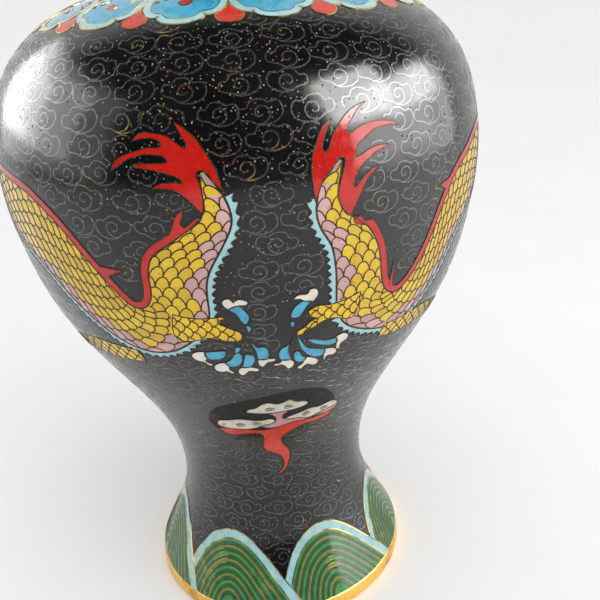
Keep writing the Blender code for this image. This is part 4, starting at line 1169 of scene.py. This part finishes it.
def build_body(side, stations, group, over):
    """A scaly body as one enamel sheet, with scale wires except under the loops over it."""
    ridge, belly, place, width = along_body(stations)
    rows = len(place)
    columns = round(width.max() / BODY_GRID) + 1
    share = np.linspace(0, 1, columns)
    grid = belly[:, None] + (ridge - belly)[:, None] * share[None, :, None]
    x = width[:, None] * share[None]
    y = np.broadcast_to(place[:, None], x.shape)
    faces = []
    for i in range(rows - 1):
        for k in range(columns - 1):
            here = i * columns + k
            faces.append([here, here + 1, here + columns + 1, here + columns])
    flat = grid.reshape(-1, 2)
    a, b, c = flat[faces[len(faces) // 2][:3]]
    if (b - a)[0] * (c - b)[1] - (b - a)[1] * (c - b)[0] < 0:
        faces = [face[::-1] for face in faces]
    part = closed_plate(flat, faces, CELL_LIFT)
    name = f"dragon_{side}_body"
    piece = add_piece(f"{name}_scales", [part], "scales", [name])
    wide = np.broadcast_to(width[:, None], x.shape)
    tint = scale_tint(x.reshape(-1), y.reshape(-1), wide.reshape(-1))
    layer = piece.data.color_attributes.new("scale_tint", "FLOAT_COLOR", "POINT")
    layer.data.foreach_set("color", np.concatenate([tint, tint]).reshape(-1))

    def on_body(points):
        """(x, y) in mm on the body to (phi, z)."""
        here = points[:, 1]
        wide = np.interp(here, place, width)
        part_way = points[:, 0] / wide
        start = [np.interp(here, place, belly[:, k]) for k in (0, 1)]
        end = [np.interp(here, place, ridge[:, k]) for k in (0, 1)]
        return np.stack([a + (b - a) * part_way for a, b in zip(start, end)], axis=1)

    for row in range(1, round(place[-1] / SCALE_ROW) + 2):
        shift = (row % 2) * SCALE_WIDTH / 2
        for column in range(-1, math.ceil(width.max() / SCALE_WIDTH) + 1):
            turn = np.linspace(math.pi, 0, SCALE_ARC_POINTS)
            arc_x = shift + (column + 0.5 + 0.5 * np.cos(turn)) * SCALE_WIDTH
            arc_y = row * SCALE_ROW - SCALE_ROW * np.sin(turn)
            wide = np.interp(arc_y, place, width)
            keep = (arc_x > 0) & (arc_x < wide) & (arc_y > TAIL_CLEAR) & (arc_y < place[-1])
            arc = np.stack([arc_x, arc_y], axis=1)[keep]
            if len(arc) > 3:
                for run in clipped(on_body(arc), over):
                    set_wire(group, run, width=SCALE_WIRE, step=BODY_WIRE_STEP)
    return ridge, belly


def with_spikes(path, spikes):
    """A path with a sharp spike at each (base, tip)."""
    path = [tuple(point) for point in path]
    for base, tip in spikes:
        flat = np.array(path)
        gaps = np.linalg.norm(surface(flat) - surface(np.array([base])), axis=1)
        at = int(gaps.argmin())
        place = running(steps_along(flat))
        start = int(np.searchsorted(place, place[at] - SPIKE_SPREAD))
        end = int(np.searchsorted(place, place[at] + SPIKE_SPREAD))
        tip = np.array(tip, float)
        rise = [tuple(flat[start] + (tip - flat[start]) * s) for s in (0.35, 0.7)]
        fall = [tuple(flat[end] + (tip - flat[end]) * s) for s in (0.7, 0.35)]
        path[start + 1:end] = [*rise, tuple(tip), *fall]
    return np.array(path)


def build_dragon(side, tail, flame, leg, toes, talons, spikes, fork):
    """One dragon; the right one's hidden front half is the left one's mirror image."""
    turn = mirrored if side == "right" else list
    out = 1 if side == "left" else -1
    group = f"dragon_{side}_wires"
    masks = []
    legs = []
    claws = []
    for path, widths in ((FRONT_LEG, FRONT_LEG_WIDTH), (REACHING_LEG, REACHING_LEG_WIDTH)):
        limb = curve(turn(path), LEG_STEP)
        wide = np.interp(np.linspace(0, 1, len(limb)), np.linspace(0, 1, len(widths)), widths)
        legs.append(strip(limb, wide))
        claws.append((limb[-1], limb[-1] - limb[-4]))
    over = [outline(leg), *legs]

    def cell(name, runs, material, lift=CELL_LIFT, node_name=None):
        """A piece of enamel cells, each with its wire and its mask against ground clouds."""
        loops = [outline(run) if isinstance(run, list) else run for run in runs]
        nodes = [node_name] if node_name else []
        add_piece(f"dragon_{side}_{name}", [plate([loop], lift) for loop in loops],
                  material, nodes)
        for loop in loops:
            if lift == CELL_LIFT:
                for run in clipped(np.concatenate([loop, loop[:1]]), over):
                    set_wire(group, run)
            else:
                set_wire(group, loop, closed=True)
            masks.append(grown(loop, CLOUD_MARGIN))

    ridge, belly = build_body(side, [*tail, *turn(NECK)], group, over)
    masks.append(grown(np.concatenate([ridge[::3], belly[::-3]]), CLOUD_MARGIN))
    fork = np.concatenate([curve(run)[:-1] for run in fork])
    below = ridge[int(np.argmax(ridge[:, Z] < fork[0, Z] - FORK_CLEAR)):]
    inner = shifted(below, -RIDGE_INSET * out)
    outer = with_spikes(shifted(below, -RIDGE_WIDTH * out)[::2], spikes)
    cell("ridge_spines", [np.concatenate([fork, outer, inner[::-2]])], "red",
         OVER_LIFT, f"dragon_{side}_ridge")
    cell("tail_flames", [flame], "red", OVER_LIFT, f"dragon_{side}_tail_flame")

    belly = spaced(belly, FRINGE_STEP)
    place = running(steps_along(belly))
    saw = np.mod(place, FRINGE_PITCH) / FRINGE_PITCH
    proud = FRINGE_BAND + FRINGE_TOOTH * np.clip(1 - saw * TOOTH_SLOPE, 0, 1)
    teeth = shifted(belly, proud * out)
    inner = shifted(belly, FRINGE_INSET * out)
    start = round(FRINGE_START[side] / FRINGE_STEP)
    split = int(np.searchsorted(place, FRINGE_SPLIT))
    for name, low, high in (("tail_fringe", start, split),
                            ("belly_fringe", split, len(belly))):
        band = np.concatenate([inner[low:high], teeth[low:high][::-1]])
        cell(f"{name}_teeth", [band], "pale_blue", CELL_LIFT,
             f"dragon_{side}_{name}")
    for edge in (belly, ridge):
        for run in clipped(edge, over):
            set_wire(group, run)

    cell("hind_leg_scales", [leg], "yellow", OVER_LIFT,
         f"dragon_{side}_hind_leg")
    leg_scales(outline(leg), group, out)
    cell("hind_toes", toes, "turquoise", OVER_LIFT)
    cell("hind_talons", talons, "white", OVER_LIFT)

    cell("front_leg_scales", legs, "yellow", OVER_LIFT,
         f"dragon_{side}_front_leg")
    for loop in legs:
        leg_scales(loop, group, out)
    front_toes, front_talons = [], []
    for wrist, heading in claws:
        for toe, talon in claw(wrist, heading):
            front_toes.append(toe)
            front_talons.append(talon)
    cell("front_toes", front_toes, "turquoise", OVER_LIFT)
    cell("front_talons", front_talons, "white", DETAIL_LIFT)

    cell("head_face", [turn(HEAD)], "yellow", OVER_LIFT,
         f"dragon_{side}_head")
    cell("mane_locks", [turn(MANE), turn(BEARD)], "red", OVER_LIFT,
         f"dragon_{side}_mane")
    cell("horn_branch", [turn(HORN)], "pale_blue", OVER_LIFT,
         f"dragon_{side}_horn")
    eye = tuple(turn([EYE])[0])
    cell("eye_white", [circle(eye, EYE_RADIUS, EYE_SQUASH)], "white",
         DETAIL_LIFT)
    cell("eye_pupil", [circle(eye, PUPIL_RADIUS)], "black", PUPIL_LIFT)
    nostril = tuple(turn([NOSTRIL])[0])
    cell("nostril", [circle(nostril, PUPIL_RADIUS)], "black", DETAIL_LIFT)
    whiskers = []
    for path in WHISKERS:
        hair = curve(turn(path), WHISKER_STEP)
        whiskers.append(strip(hair, np.linspace(*WHISKER_WIDTH, len(hair))))
    cell("whiskers", whiskers, "red_over", OVER_LIFT)
    teeth_row = []
    for step in range(TEETH):
        phi, z = (a + b * step for a, b in zip(FIRST_TOOTH, TOOTH_STEP))
        teeth_row.append(turn([[(phi - TOOTH_HALF_WIDTH, z)], [(phi + TOOTH_HALF_WIDTH, z)],
                               [(phi, z - TOOTH_LENGTH)]]))
    cell("teeth", teeth_row, "white", DETAIL_LIFT)
    for path in FACE_LINES:
        set_wire(group, curve(turn(path), FACE_STEP), top=DETAIL_WIRE_TOP)
    return masks


def leg_scales(loop, group, out):
    """Wires of scales inside a leg's outline, their rounded fronts towards the claw."""
    low, high = loop.min(axis=0), loop.max(axis=0)
    degree = LEG_SCALE_PITCH / mm_per_degree((low[Z] + high[Z]) / 2)
    turn = np.linspace(-math.pi / 2, math.pi / 2, LEG_ARC_POINTS)
    row = 0
    z = low[Z]
    while z < high[Z] + LEG_SCALE_PITCH:
        for column in range(math.floor((high[PHI] - low[PHI]) / degree) + 2):
            phi = low[PHI] + (column + 0.5 * (row % 2)) * degree
            arc = np.stack([phi + out * 0.5 * degree * np.cos(turn),
                            z + LEG_SCALE_PITCH / 2 * np.sin(turn)], axis=1)
            arc = spaced(arc, LEG_ARC_STEP)
            for run in within(arc, loop):
                set_wire(group, run, width=SCALE_WIRE, step=BODY_WIRE_STEP,
                         top=DETAIL_WIRE_TOP)
        z += LEG_SCALE_PITCH / 2
        row += 1


def claw(wrist, heading):
    """Five fat toes round a wrist, each with its talon, as pairs of outlines."""
    base = math.degrees(math.atan2(heading[1], heading[0]))
    to_skin = np.array([1 / mm_per_degree(wrist[Z]), 1.0])
    pairs = []
    for spread in TOE_SPREAD:
        bend = math.radians(base + spread)
        curl = math.radians(base + spread + math.copysign(TOE_CURL, spread))
        onward = np.array([math.cos(curl), math.sin(curl)])
        middle = np.array([math.cos(bend) * TOE_JOINT, math.sin(bend) * TOE_JOINT])
        end = middle + onward * TOE_JOINT
        tip = end + onward * TALON_LENGTH
        path = curve([middle * TOE_ROOT, middle, end], TOE_STEP) * to_skin + wrist
        root = end - (end - middle) * TALON_OVERLAP
        nail = curve([root, (end + tip) / 2, tip], TALON_STEP) * to_skin + wrist
        toe_width = TOE_WIDTH * np.sin(np.linspace(*TOE_SWELL, len(path)))
        nail_width = np.linspace(*TALON_WIDTH, len(nail))
        pairs.append((strip(path, toe_width), strip(nail, nail_width)))
    return pairs


# ---------------------------------------------------------------- waist cloud
def build_waist_cloud():
    """The small cloud in its rough black patch; returns the masks the ground clouds avoid."""
    masks = []
    patch = outline(PATCH)
    add_piece("waist_dull_patch", [plate([patch], PATCH_LIFT)], "patch")
    masks.append(grown(patch, CLOUD_MARGIN))
    cells = [
        ("waist_cloud_tail", CLOUD_TAIL, "red_over", "red_enamel", CELL_LIFT),
        ("waist_cloud_middle", CLOUD_MIDDLE, "lilac", "lilac_enamel", MIDDLE_LIFT),
        ("waist_cloud_left", CLOUD_LEFT, "cloud_white", "white_enamel", OVER_LIFT),
        ("waist_cloud_right", CLOUD_RIGHT, "cloud_white", "white_enamel", OVER_LIFT),
        ("waist_cloud_top", CLOUD_TOP, "cloud_white", "white_enamel", OVER_LIFT),
    ]
    for name, runs, material, slot, lift in cells:
        loop = outline(runs)
        add_piece(f"{name}_cell", [plate([loop], lift)], material, [name])
        set_wire("waist_wires", loop, closed=True)
        masks.append(grown(loop, CLOUD_MARGIN))
    turn = np.linspace(*CURL_TURN, CURL_POINTS)
    size = np.linspace(*CURL_SIZE, CURL_POINTS)
    for centre in CLOUD_CURLS:
        set_wire("waist_wires", winding(centre, turn, size, CURL_SQUASH), top=CURL_WIRE_TOP)
    return masks


# ---------------------------------------------------------------- foot waves
def build_waves():
    """Seven arches round the foot; each passes in front of its right-hand neighbour."""
    crest = curve(WAVE_CREST, WAVE_STEP)
    span = crest[:, PHI].min(), crest[:, PHI].max()
    low = FOOT_TOP + GAP / 2

    def arch(centre, size):
        """An arch of a size round its heart, open at the foot."""
        ring = np.array(WAVE_HEART) + (crest - WAVE_HEART) * size
        return ring[ring[:, Z] >= low] + (centre, 0)

    def closed_arch(centre, size):
        """The same, closed along the foot rim."""
        ring = arch(centre, size)
        return np.concatenate([[(ring[0, PHI], low)], ring, [(ring[-1, PHI], low)]])

    def leaning(centre):
        """A lift that grows from an arch's left side to its right."""
        def lift(points):
            share = (points[:, PHI] - centre - span[0]) / (span[1] - span[0])
            return WAVE_LIFT + WAVE_RISE * np.clip(share, 0, 1)
        return lift

    borders, masks = [], []
    for i in range(WAVES):
        centre = WAVE_PITCH * (i + 0.5 - WAVES // 2)
        lift = leaning(centre)
        neighbour = [closed_arch(centre - WAVE_PITCH, 1.0)]
        outer, inner = arch(centre, 1.0), arch(centre, WAVE_BORDER)
        borders.append(plate([np.concatenate([outer, inner[::-1]])], lift, FINE_GRID))
        masks.append(grown(closed_arch(centre, 1.0), CLOUD_MARGIN))
        sizes = np.linspace(WAVE_BORDER, WAVE_LEAST, WAVE_STRIPES + 1)
        stripes, materials = [], []
        for k, (size, less) in enumerate(zip(sizes, sizes[1:])):
            outer_ring = arch(centre, size)
            if k < WAVE_STRIPES - 1:
                loop = np.concatenate([outer_ring, arch(centre, less)[::-1]])
            else:
                loop = closed_arch(centre, size)
            stripes.append(plate([loop], lift, FINE_GRID))
            materials.append(WAVE_COLOURS[k % len(WAVE_COLOURS)])
            for run in clipped(outer_ring, neighbour):
                set_wire("wave_stripe_wires", run, **STRIPE_WIRE)
        name = f"wave_field_{i + 1}"
        add_piece(f"{name}_stripes", stripes, materials, [name])
        for ring in (outer, inner):
            for run in clipped(ring, neighbour):
                set_wire("wave_border_wires", run, **BORDER_WIRE)
    add_piece("wave_border_bands", borders, "pale_blue",
              ["wave_border"])
    return masks


# ---------------------------------------------------------------- collar and neck
def on_collar(points, centre):
    """(phi, mm up the skin) round a head's middle to (phi, z)."""
    points = np.array(points, float)
    return np.stack([points[:, 0] + centre, up_skin(COLLAR_ZERO, points[:, 1])], axis=1)


def build_collar():
    """The turquoise heads with their strands, dots and drops, and the band above them."""
    fields, strands, dots, drops, masks = [], [], [], [], []
    strand = [curve(mirrored(SIDE_LOBE), COLLAR_STEP)[::-1], curve(CENTRE_LOBE, COLLAR_STEP),
              curve(SIDE_LOBE, COLLAR_STEP)]
    for head in range(COLLAR_HEADS):
        centre = COLLAR_PITCH * (head + 0.5)
        centre -= 360 if centre > 180 else 0
        field = on_collar(outline(COLLAR_FIELD), centre)
        fields.append(plate([field], CELL_LIFT))
        masks.append(grown(field, COLLAR_STRAND / 2 + CLOUD_MARGIN))
        for k, path in enumerate(strand):
            path = on_collar(path, centre)
            ends = np.minimum(np.arange(len(path)), np.arange(len(path))[::-1])
            width = COLLAR_STRAND * np.clip(STRAND_END + ends / STRAND_TAPER, 0, 1)
            band = strip(path, width)
            lift = OVER_LIFT + COLLAR_CROSSING * (k == 1)
            strands.append(plate([band], lift, FINE_GRID))
            for edge in (shifted(path, width / 2), shifted(path, -width / 2)):
                set_wire("collar_wires", edge, width=COLLAR_WIRE, top=STRAND_WIRE_TOP)
        for side in (-1, 1):
            eye = on_collar([(side * COLLAR_EYE[0], COLLAR_EYE[1])], centre)[0]
            set_wire("collar_wires", circle(eye, COLLAR_EYE_RADIUS, COLLAR_EYE_SQUASH),
                     closed=True, width=COLLAR_WIRE)
        middle = on_collar([COLLAR_DOT], centre)[0]
        dot = circle(middle, COLLAR_DOT_RADIUS, COLLAR_DOT_SQUASH)
        dots.append(plate([dot], OVER_LIFT))
        set_wire("collar_wires", grown(dot, COLLAR_DOT_MARGIN), closed=True,
                 width=COLLAR_DOT_WIRE)
        drop = on_collar(outline(DROP), centre + COLLAR_PITCH / 2)
        drops.append(plate([drop], OVER_LIFT))
        set_wire("collar_wires", drop, closed=True, width=COLLAR_WIRE)
        masks.append(grown(drop, CLOUD_MARGIN))
    add_piece("collar_heads_turquoise", fields, "turquoise",
              ["collar_heads"])
    add_piece("collar_border_strands", strands, "pale_blue",
              ["collar_border"])
    add_piece("collar_dots", dots, "red")
    add_piece("collar_drops", drops, "red_over")
    low, high = COLLAR_TOP, NECK_BASE - GAP / 2
    section = shell_section(low, high, -CELL_LIFT, CELL_DEPTH, BAND_STEP)
    add_piece("collar_band_ring", [lathe(section)], "maroon",
              ["collar_band"])
    turn = np.linspace(-180, 180, BAND_WIRE_POINTS, endpoint=False)
    for z in (low, high - BAND_WIRE / 2):
        set_wire("collar_wires", np.stack([turn, np.full(BAND_WIRE_POINTS, z)], axis=1),
                 closed=True, width=BAND_WIRE)
    return masks


def build_lappets():
    """The hanging leaves under the mouth, each with a red dot."""
    pitch = 360 / LAPPETS
    notch, turning = LAPPET_NOTCH + LAPPET_ROUND[0], LAPPET_BOTTOM + LAPPET_ROUND[1]
    cells, tips, masks = [], [], []
    for i in range(LAPPETS):
        centre = pitch * (i + 0.5) - 180
        half = pitch / 2 - LAPPET_GAP
        leaf = outline([[(centre - half, LAPPET_TOP), (centre, LAPPET_TOP)],
                        [(centre + half, LAPPET_TOP), (centre + half, notch),
                         (centre + half * LAPPET_SHOULDER, turning)],
                        [(centre, LAPPET_BOTTOM), (centre - half * LAPPET_SHOULDER, turning),
                         (centre - half, notch)]])
        cells.append(plate([leaf], CELL_LIFT, LAPPET_GRID))
        set_wire("neck_wires", leaf, closed=True)
        masks.append(grown(leaf, CLOUD_MARGIN))
        tip = circle((centre, (LAPPET_BOTTOM + LAPPET_TOP) / 2), LAPPET_DOT_RADIUS,
                     LAPPET_DOT_STRETCH)
        tips.append(plate([tip], OVER_LIFT, DOT_GRID))
        set_wire("neck_wires", tip, closed=True)
    add_piece("neck_lappet_leaves", cells, "turquoise",
              ["neck_lappets"])
    add_piece("neck_lappet_dots", tips, "red")
    return masks


def build_pearl():
    """The pearl between the dragons' heads, with its flames."""
    ring = circle(PEARL_CENTRE, PEARL_RADIUS)
    flame = outline(PEARL_FLAME)
    add_piece("pearl_disc", [plate([ring], OVER_LIFT)], "white",
              ["pearl"])
    add_piece("pearl_flames", [plate([flame], CELL_LIFT)], "red",
              ["pearl_flame"])
    set_wire("pearl_wires", ring, closed=True)
    set_wire("pearl_wires", flame, closed=True)
    turn = np.linspace(0, PEARL_TURN, PEARL_CURL_POINTS)
    size = np.linspace(*PEARL_CURL, PEARL_CURL_POINTS)
    set_wire("pearl_wires", winding(PEARL_CENTRE, turn, size), top=CURL_WIRE_TOP)
    return [grown(ring, CLOUD_MARGIN), grown(flame, CLOUD_MARGIN)]


# ---------------------------------------------------------------- clouds of the ground
def build_clouds(masks):
    """Rows of small wire clouds over the black ground, cut off where a motif lies."""
    chance = random.Random(SEED)
    rim, spiral = closed_curve(CLOUD_RIM, CLOUD_STEP), curve(CLOUD_SPIRAL, CLOUD_STEP)
    wrapped = [mask + (turn, 0) for mask in masks for turn in (-360, 0, 360)
               if mask[:, PHI].min() + turn < SEAM and mask[:, PHI].max() + turn > -SEAM]
    for name, low, high in CLOUD_ZONES:
        start, end = np.interp((low, high), SKIN_Z, SKIN_PLACE)
        rows = max(1, round((end - start) / CLOUD_PITCH[1]))
        parts = []
        for row in range(rows):
            place = start + (row + 0.5) * (end - start) / rows
            z = float(np.interp(place, SKIN_PLACE, SKIN_Z))
            radius = radius_at(z)
            count = round(2 * math.pi * radius / CLOUD_PITCH[0])
            for k in range(count):
                even = 360 / count * (k + 0.5 * (row % 2)) - 180
                phi = even + chance.uniform(-CLOUD_DRIFT, CLOUD_DRIFT)
                flip = chance.choice((-1, 1)) if chance.random() < CLOUD_FLIPPED else 1
                tilt = math.radians(chance.uniform(-CLOUD_TILT, CLOUD_TILT))
                size = chance.uniform(*CLOUD_SIZES)
                rise = chance.uniform(-CLOUD_RISE, CLOUD_RISE)
                turn = np.array([(math.cos(tilt), math.sin(tilt)),
                                 (-math.sin(tilt), math.cos(tilt))]) * size
                runs = []
                left = total = 0
                for path, closed in ((rim, True), (spiral, False)):
                    moved = (path * (flip, 1)) @ turn
                    trace = np.stack([phi + np.degrees(moved[:, 0] / radius),
                                       up_skin(z, moved[:, 1] + rise)], axis=1)
                    if closed:
                        trace = np.concatenate([trace, trace[:1]])
                    pieces = clipped(trace, wrapped)
                    whole = closed and len(pieces) == 1 and len(pieces[0]) == len(trace)
                    runs += [(piece[:-1] if whole else piece, whole) for piece in pieces]
                    left += sum(len(piece) for piece in pieces)
                    total += len(trace)
                if left < CLOUD_LEAST * total:
                    continue
                parts += [wire(run, closed, CLOUD_WIRE_WIDTH, CLOUD_WIRE_TOP, CLOUD_WIRE_STEP)
                          for run, closed in runs]
        add_piece(name, parts, "cloud_wire")


# ---------------------------------------------------------------- floor, light and camera
FLOOR_RADIUS = 1.4
BACKDROP_RADIUS = 2.6
BACKDROP_BEND = 1.1
BACKDROP_HEIGHT = 2.4
FLOOR_RING = 0.3
FLOOR_HOLE = 0.0005
BEND_STEPS = 12
STAGE_SEGMENTS = 96
PAINTED_LIGHT_REACH = (250.0, 1500.0)       # mm from the vase over which the paper is painted lighter, to nearly white: painted light
FAR_PAPER_PAINTED_LIGHT = (0.97, 0.97, 0.97)
PAPER_RELIEF = 0.02
# Soft boxes: name, azimuth (0 in front, 90 on the right), elevation, (width, height) in
# degrees as seen from the vase, radiance, and whether matt and glossy light count.
SOFT_BOXES = [
    ("left_box", -116, 18, (32, 26), 3.6, False, True),
    ("left_spill", -106, 21, (56, 36), 2.4, False, True),
    ("left_far_spill", -97, 20, (74, 46), 1.3, False, True),
    ("right_box", 55, 29, (31, 28), 13.0, False, True),
    ("right_side_box", 85, 21, (34, 18), 7.5, False, True),
    ("right_spill", 78, 8, (62, 40), 3.6, False, True),
    ("right_near_spill", 70, 12, (44, 28), 2.4, False, True),
    ("top_fill", 30, 62, (50, 50), 1.1, True, False),
    ("right_fill", 48, 30, (40, 40), 1.2, True, False),
]
BOX_DISTANCE = 1.1
LIGHT_TARGET = (0.0, 0.0, 0.13)
WORLD_MATT = 0.97       # what matt surfaces and the camera see of the surroundings
WORLD_GLOSS = 0.05      # what is mirrored in the enamel: the dim room before the vase
BACK_GLOSS = 1.0        # and the pale wall behind it
BACK_EDGE = (0.22, 0.55)       # the wall begins between these values of a direction's Y


def ring_mesh(name, section):
    """An open surface of revolution, in metres; its first point may lie on the axis."""
    turn = np.linspace(0, 2 * math.pi, STAGE_SEGMENTS, endpoint=False)
    points = [(r * math.sin(a), -r * math.cos(a), z) for r, z in section for a in turn]
    faces = []
    for ring in range(len(section) - 1):
        for i in range(STAGE_SEGMENTS):
            here = ring * STAGE_SEGMENTS + i
            there = ring * STAGE_SEGMENTS + (i + 1) % STAGE_SEGMENTS
            faces.append((here, here + STAGE_SEGMENTS, there + STAGE_SEGMENTS, there))
    mesh = bpy.data.meshes.new(name)
    mesh.from_pydata(points, [], faces)
    mesh.shade_smooth()
    return mesh


def build_stage():
    """A pale floor, and a backdrop that rises from it all round."""
    material, tree, shader = new_material("floor_paper")
    where = place_in_mm(tree)
    away = node(tree, "ShaderNodeVectorMath", {0: where}, operation="LENGTH").outputs["Value"]
    # Painted light: the paper is painted lighter away from the vase, nearly white on the far
    # floor and the backdrop.
    far = between(tree, away, *PAINTED_LIGHT_REACH)
    colour = mix(tree, noise(tree, where, 0.01, 2), (0.83, 0.83, 0.835), (0.87, 0.87, 0.865))
    colour = mix(tree, far, colour, FAR_PAPER_PAINTED_LIGHT)
    gloss = between(tree, noise(tree, where, 0.05), 0.3, 0.7, 0.5, 0.65)
    finish_surface(tree, shader, colour, gloss, noise(tree, where, 1.5), PAPER_RELIEF)
    bend = np.linspace(0, math.pi / 2, BEND_STEPS)
    wall = BACKDROP_RADIUS - BACKDROP_BEND
    sections = {
        "floor": [(FLOOR_HOLE, 0.0), (FLOOR_RING, 0.0), (FLOOR_RADIUS, 0.0)],
        "backdrop": [(FLOOR_RADIUS, 0.0), *((wall + BACKDROP_BEND * math.sin(a),
                                             BACKDROP_BEND * (1 - math.cos(a))) for a in bend),
                     (BACKDROP_RADIUS, BACKDROP_HEIGHT)],
    }
    for name, section in sections.items():
        mesh = ring_mesh(name, section)
        mesh.materials.append(material)
        paper = bpy.data.objects.new(name, mesh)
        paper.visible_glossy = name == "floor"
        bpy.context.scene.collection.objects.link(paper)


def add_soft_box(name, azimuth, elevation, spread, radiance, matt, glossy):
    """A rectangular lamp that faces the vase from an angle and is never seen itself."""
    turn, rise = math.radians(azimuth), math.radians(elevation)
    ahead = Vector((math.sin(turn) * math.cos(rise), -math.cos(turn) * math.cos(rise),
                    math.sin(rise)))
    light = bpy.data.lights.new(name, "AREA")
    light.shape = "RECTANGLE"
    light.size, light.size_y = (2 * BOX_DISTANCE * math.tan(math.radians(angle / 2))
                                for angle in spread)
    light.energy = radiance * math.pi * light.size * light.size_y
    lamp = bpy.data.objects.new(name, light)
    lamp.location = Vector(LIGHT_TARGET) + ahead * BOX_DISTANCE
    lamp.rotation_euler = ahead.to_track_quat("Z", "Y").to_euler()
    lamp.visible_diffuse = matt
    lamp.visible_glossy = glossy
    lamp.visible_camera = False
    bpy.context.scene.collection.objects.link(lamp)


def build_light():
    """The soft boxes and the pale surroundings."""
    for box in SOFT_BOXES:
        add_soft_box(*box)
    world = bpy.data.worlds.new("studio")
    world.use_nodes = True
    tree = world.node_tree
    glossy = node(tree, "ShaderNodeLightPath").outputs["Is Glossy Ray"]
    toward = node(tree, "ShaderNodeTexCoord").outputs["Generated"]
    back = node(tree, "ShaderNodeSeparateXYZ", {0: toward}).outputs[1]
    mirrored_room = between(tree, back, *BACK_EDGE, WORLD_GLOSS, BACK_GLOSS)
    strength = node(tree, "ShaderNodeMapRange", {"Value": glossy, 3: WORLD_MATT,
                                                 4: mirrored_room}).outputs[0]
    background = tree.nodes["Background"]
    background.inputs[0].default_value = (1.0, 1.0, 1.0, 1.0)
    tree.links.new(strength, background.inputs[1])
    # The strength depends on the kind of ray, which light samples of the world don't know.
    world.cycles.sampling_method = "NONE"
    bpy.context.scene.world = world
    bpy.context.scene.view_settings.view_transform = "Standard"


def build_camera():
    """The camera at its place, turned by its three angles."""
    yaw, pitch, roll = (math.radians(a) for a in (CAMERA_YAW, CAMERA_PITCH, CAMERA_ROLL))
    ahead = Vector((math.sin(yaw) * math.cos(pitch), math.cos(yaw) * math.cos(pitch),
                    -math.sin(pitch)))
    right = Vector((math.cos(yaw), -math.sin(yaw), 0))
    up = right.cross(ahead)
    rolled_right = right * math.cos(roll) + up * math.sin(roll)
    rolled_up = up * math.cos(roll) - right * math.sin(roll)
    camera = bpy.data.cameras.new("camera")
    camera.lens = CAMERA_LENS
    camera.sensor_width = SENSOR_WIDTH
    camera.clip_start = CLIP_START
    holder = bpy.data.objects.new("camera", camera)
    turn = Matrix((rolled_right, rolled_up, -ahead)).transposed()
    holder.matrix_world = Matrix.Translation(Vector(CAMERA_PLACE) * MM) @ turn.to_4x4()
    bpy.context.scene.collection.objects.link(holder)
    bpy.context.scene.camera = holder


# ---------------------------------------------------------------- everything
build_camera()
build_light()
build_stage()
build_turned()
motifs = build_dragon("left", LEFT_TAIL, LEFT_FLAME, LEFT_LEG, LEFT_TOES, LEFT_TALONS,
                      LEFT_SPIKES, LEFT_FORK)
motifs += build_dragon("right", RIGHT_TAIL, RIGHT_FLAME, RIGHT_LEG, RIGHT_TOES, RIGHT_TALONS,
                       RIGHT_SPIKES, RIGHT_FORK)
motifs += build_waist_cloud()
motifs += build_waves()
motifs += build_collar()
motifs += build_lappets()
motifs += build_pearl()
build_clouds(motifs)
for group, parts in WIRES.items():
    add_piece(group, parts, WIRE_METALS.get(group, "wire"))
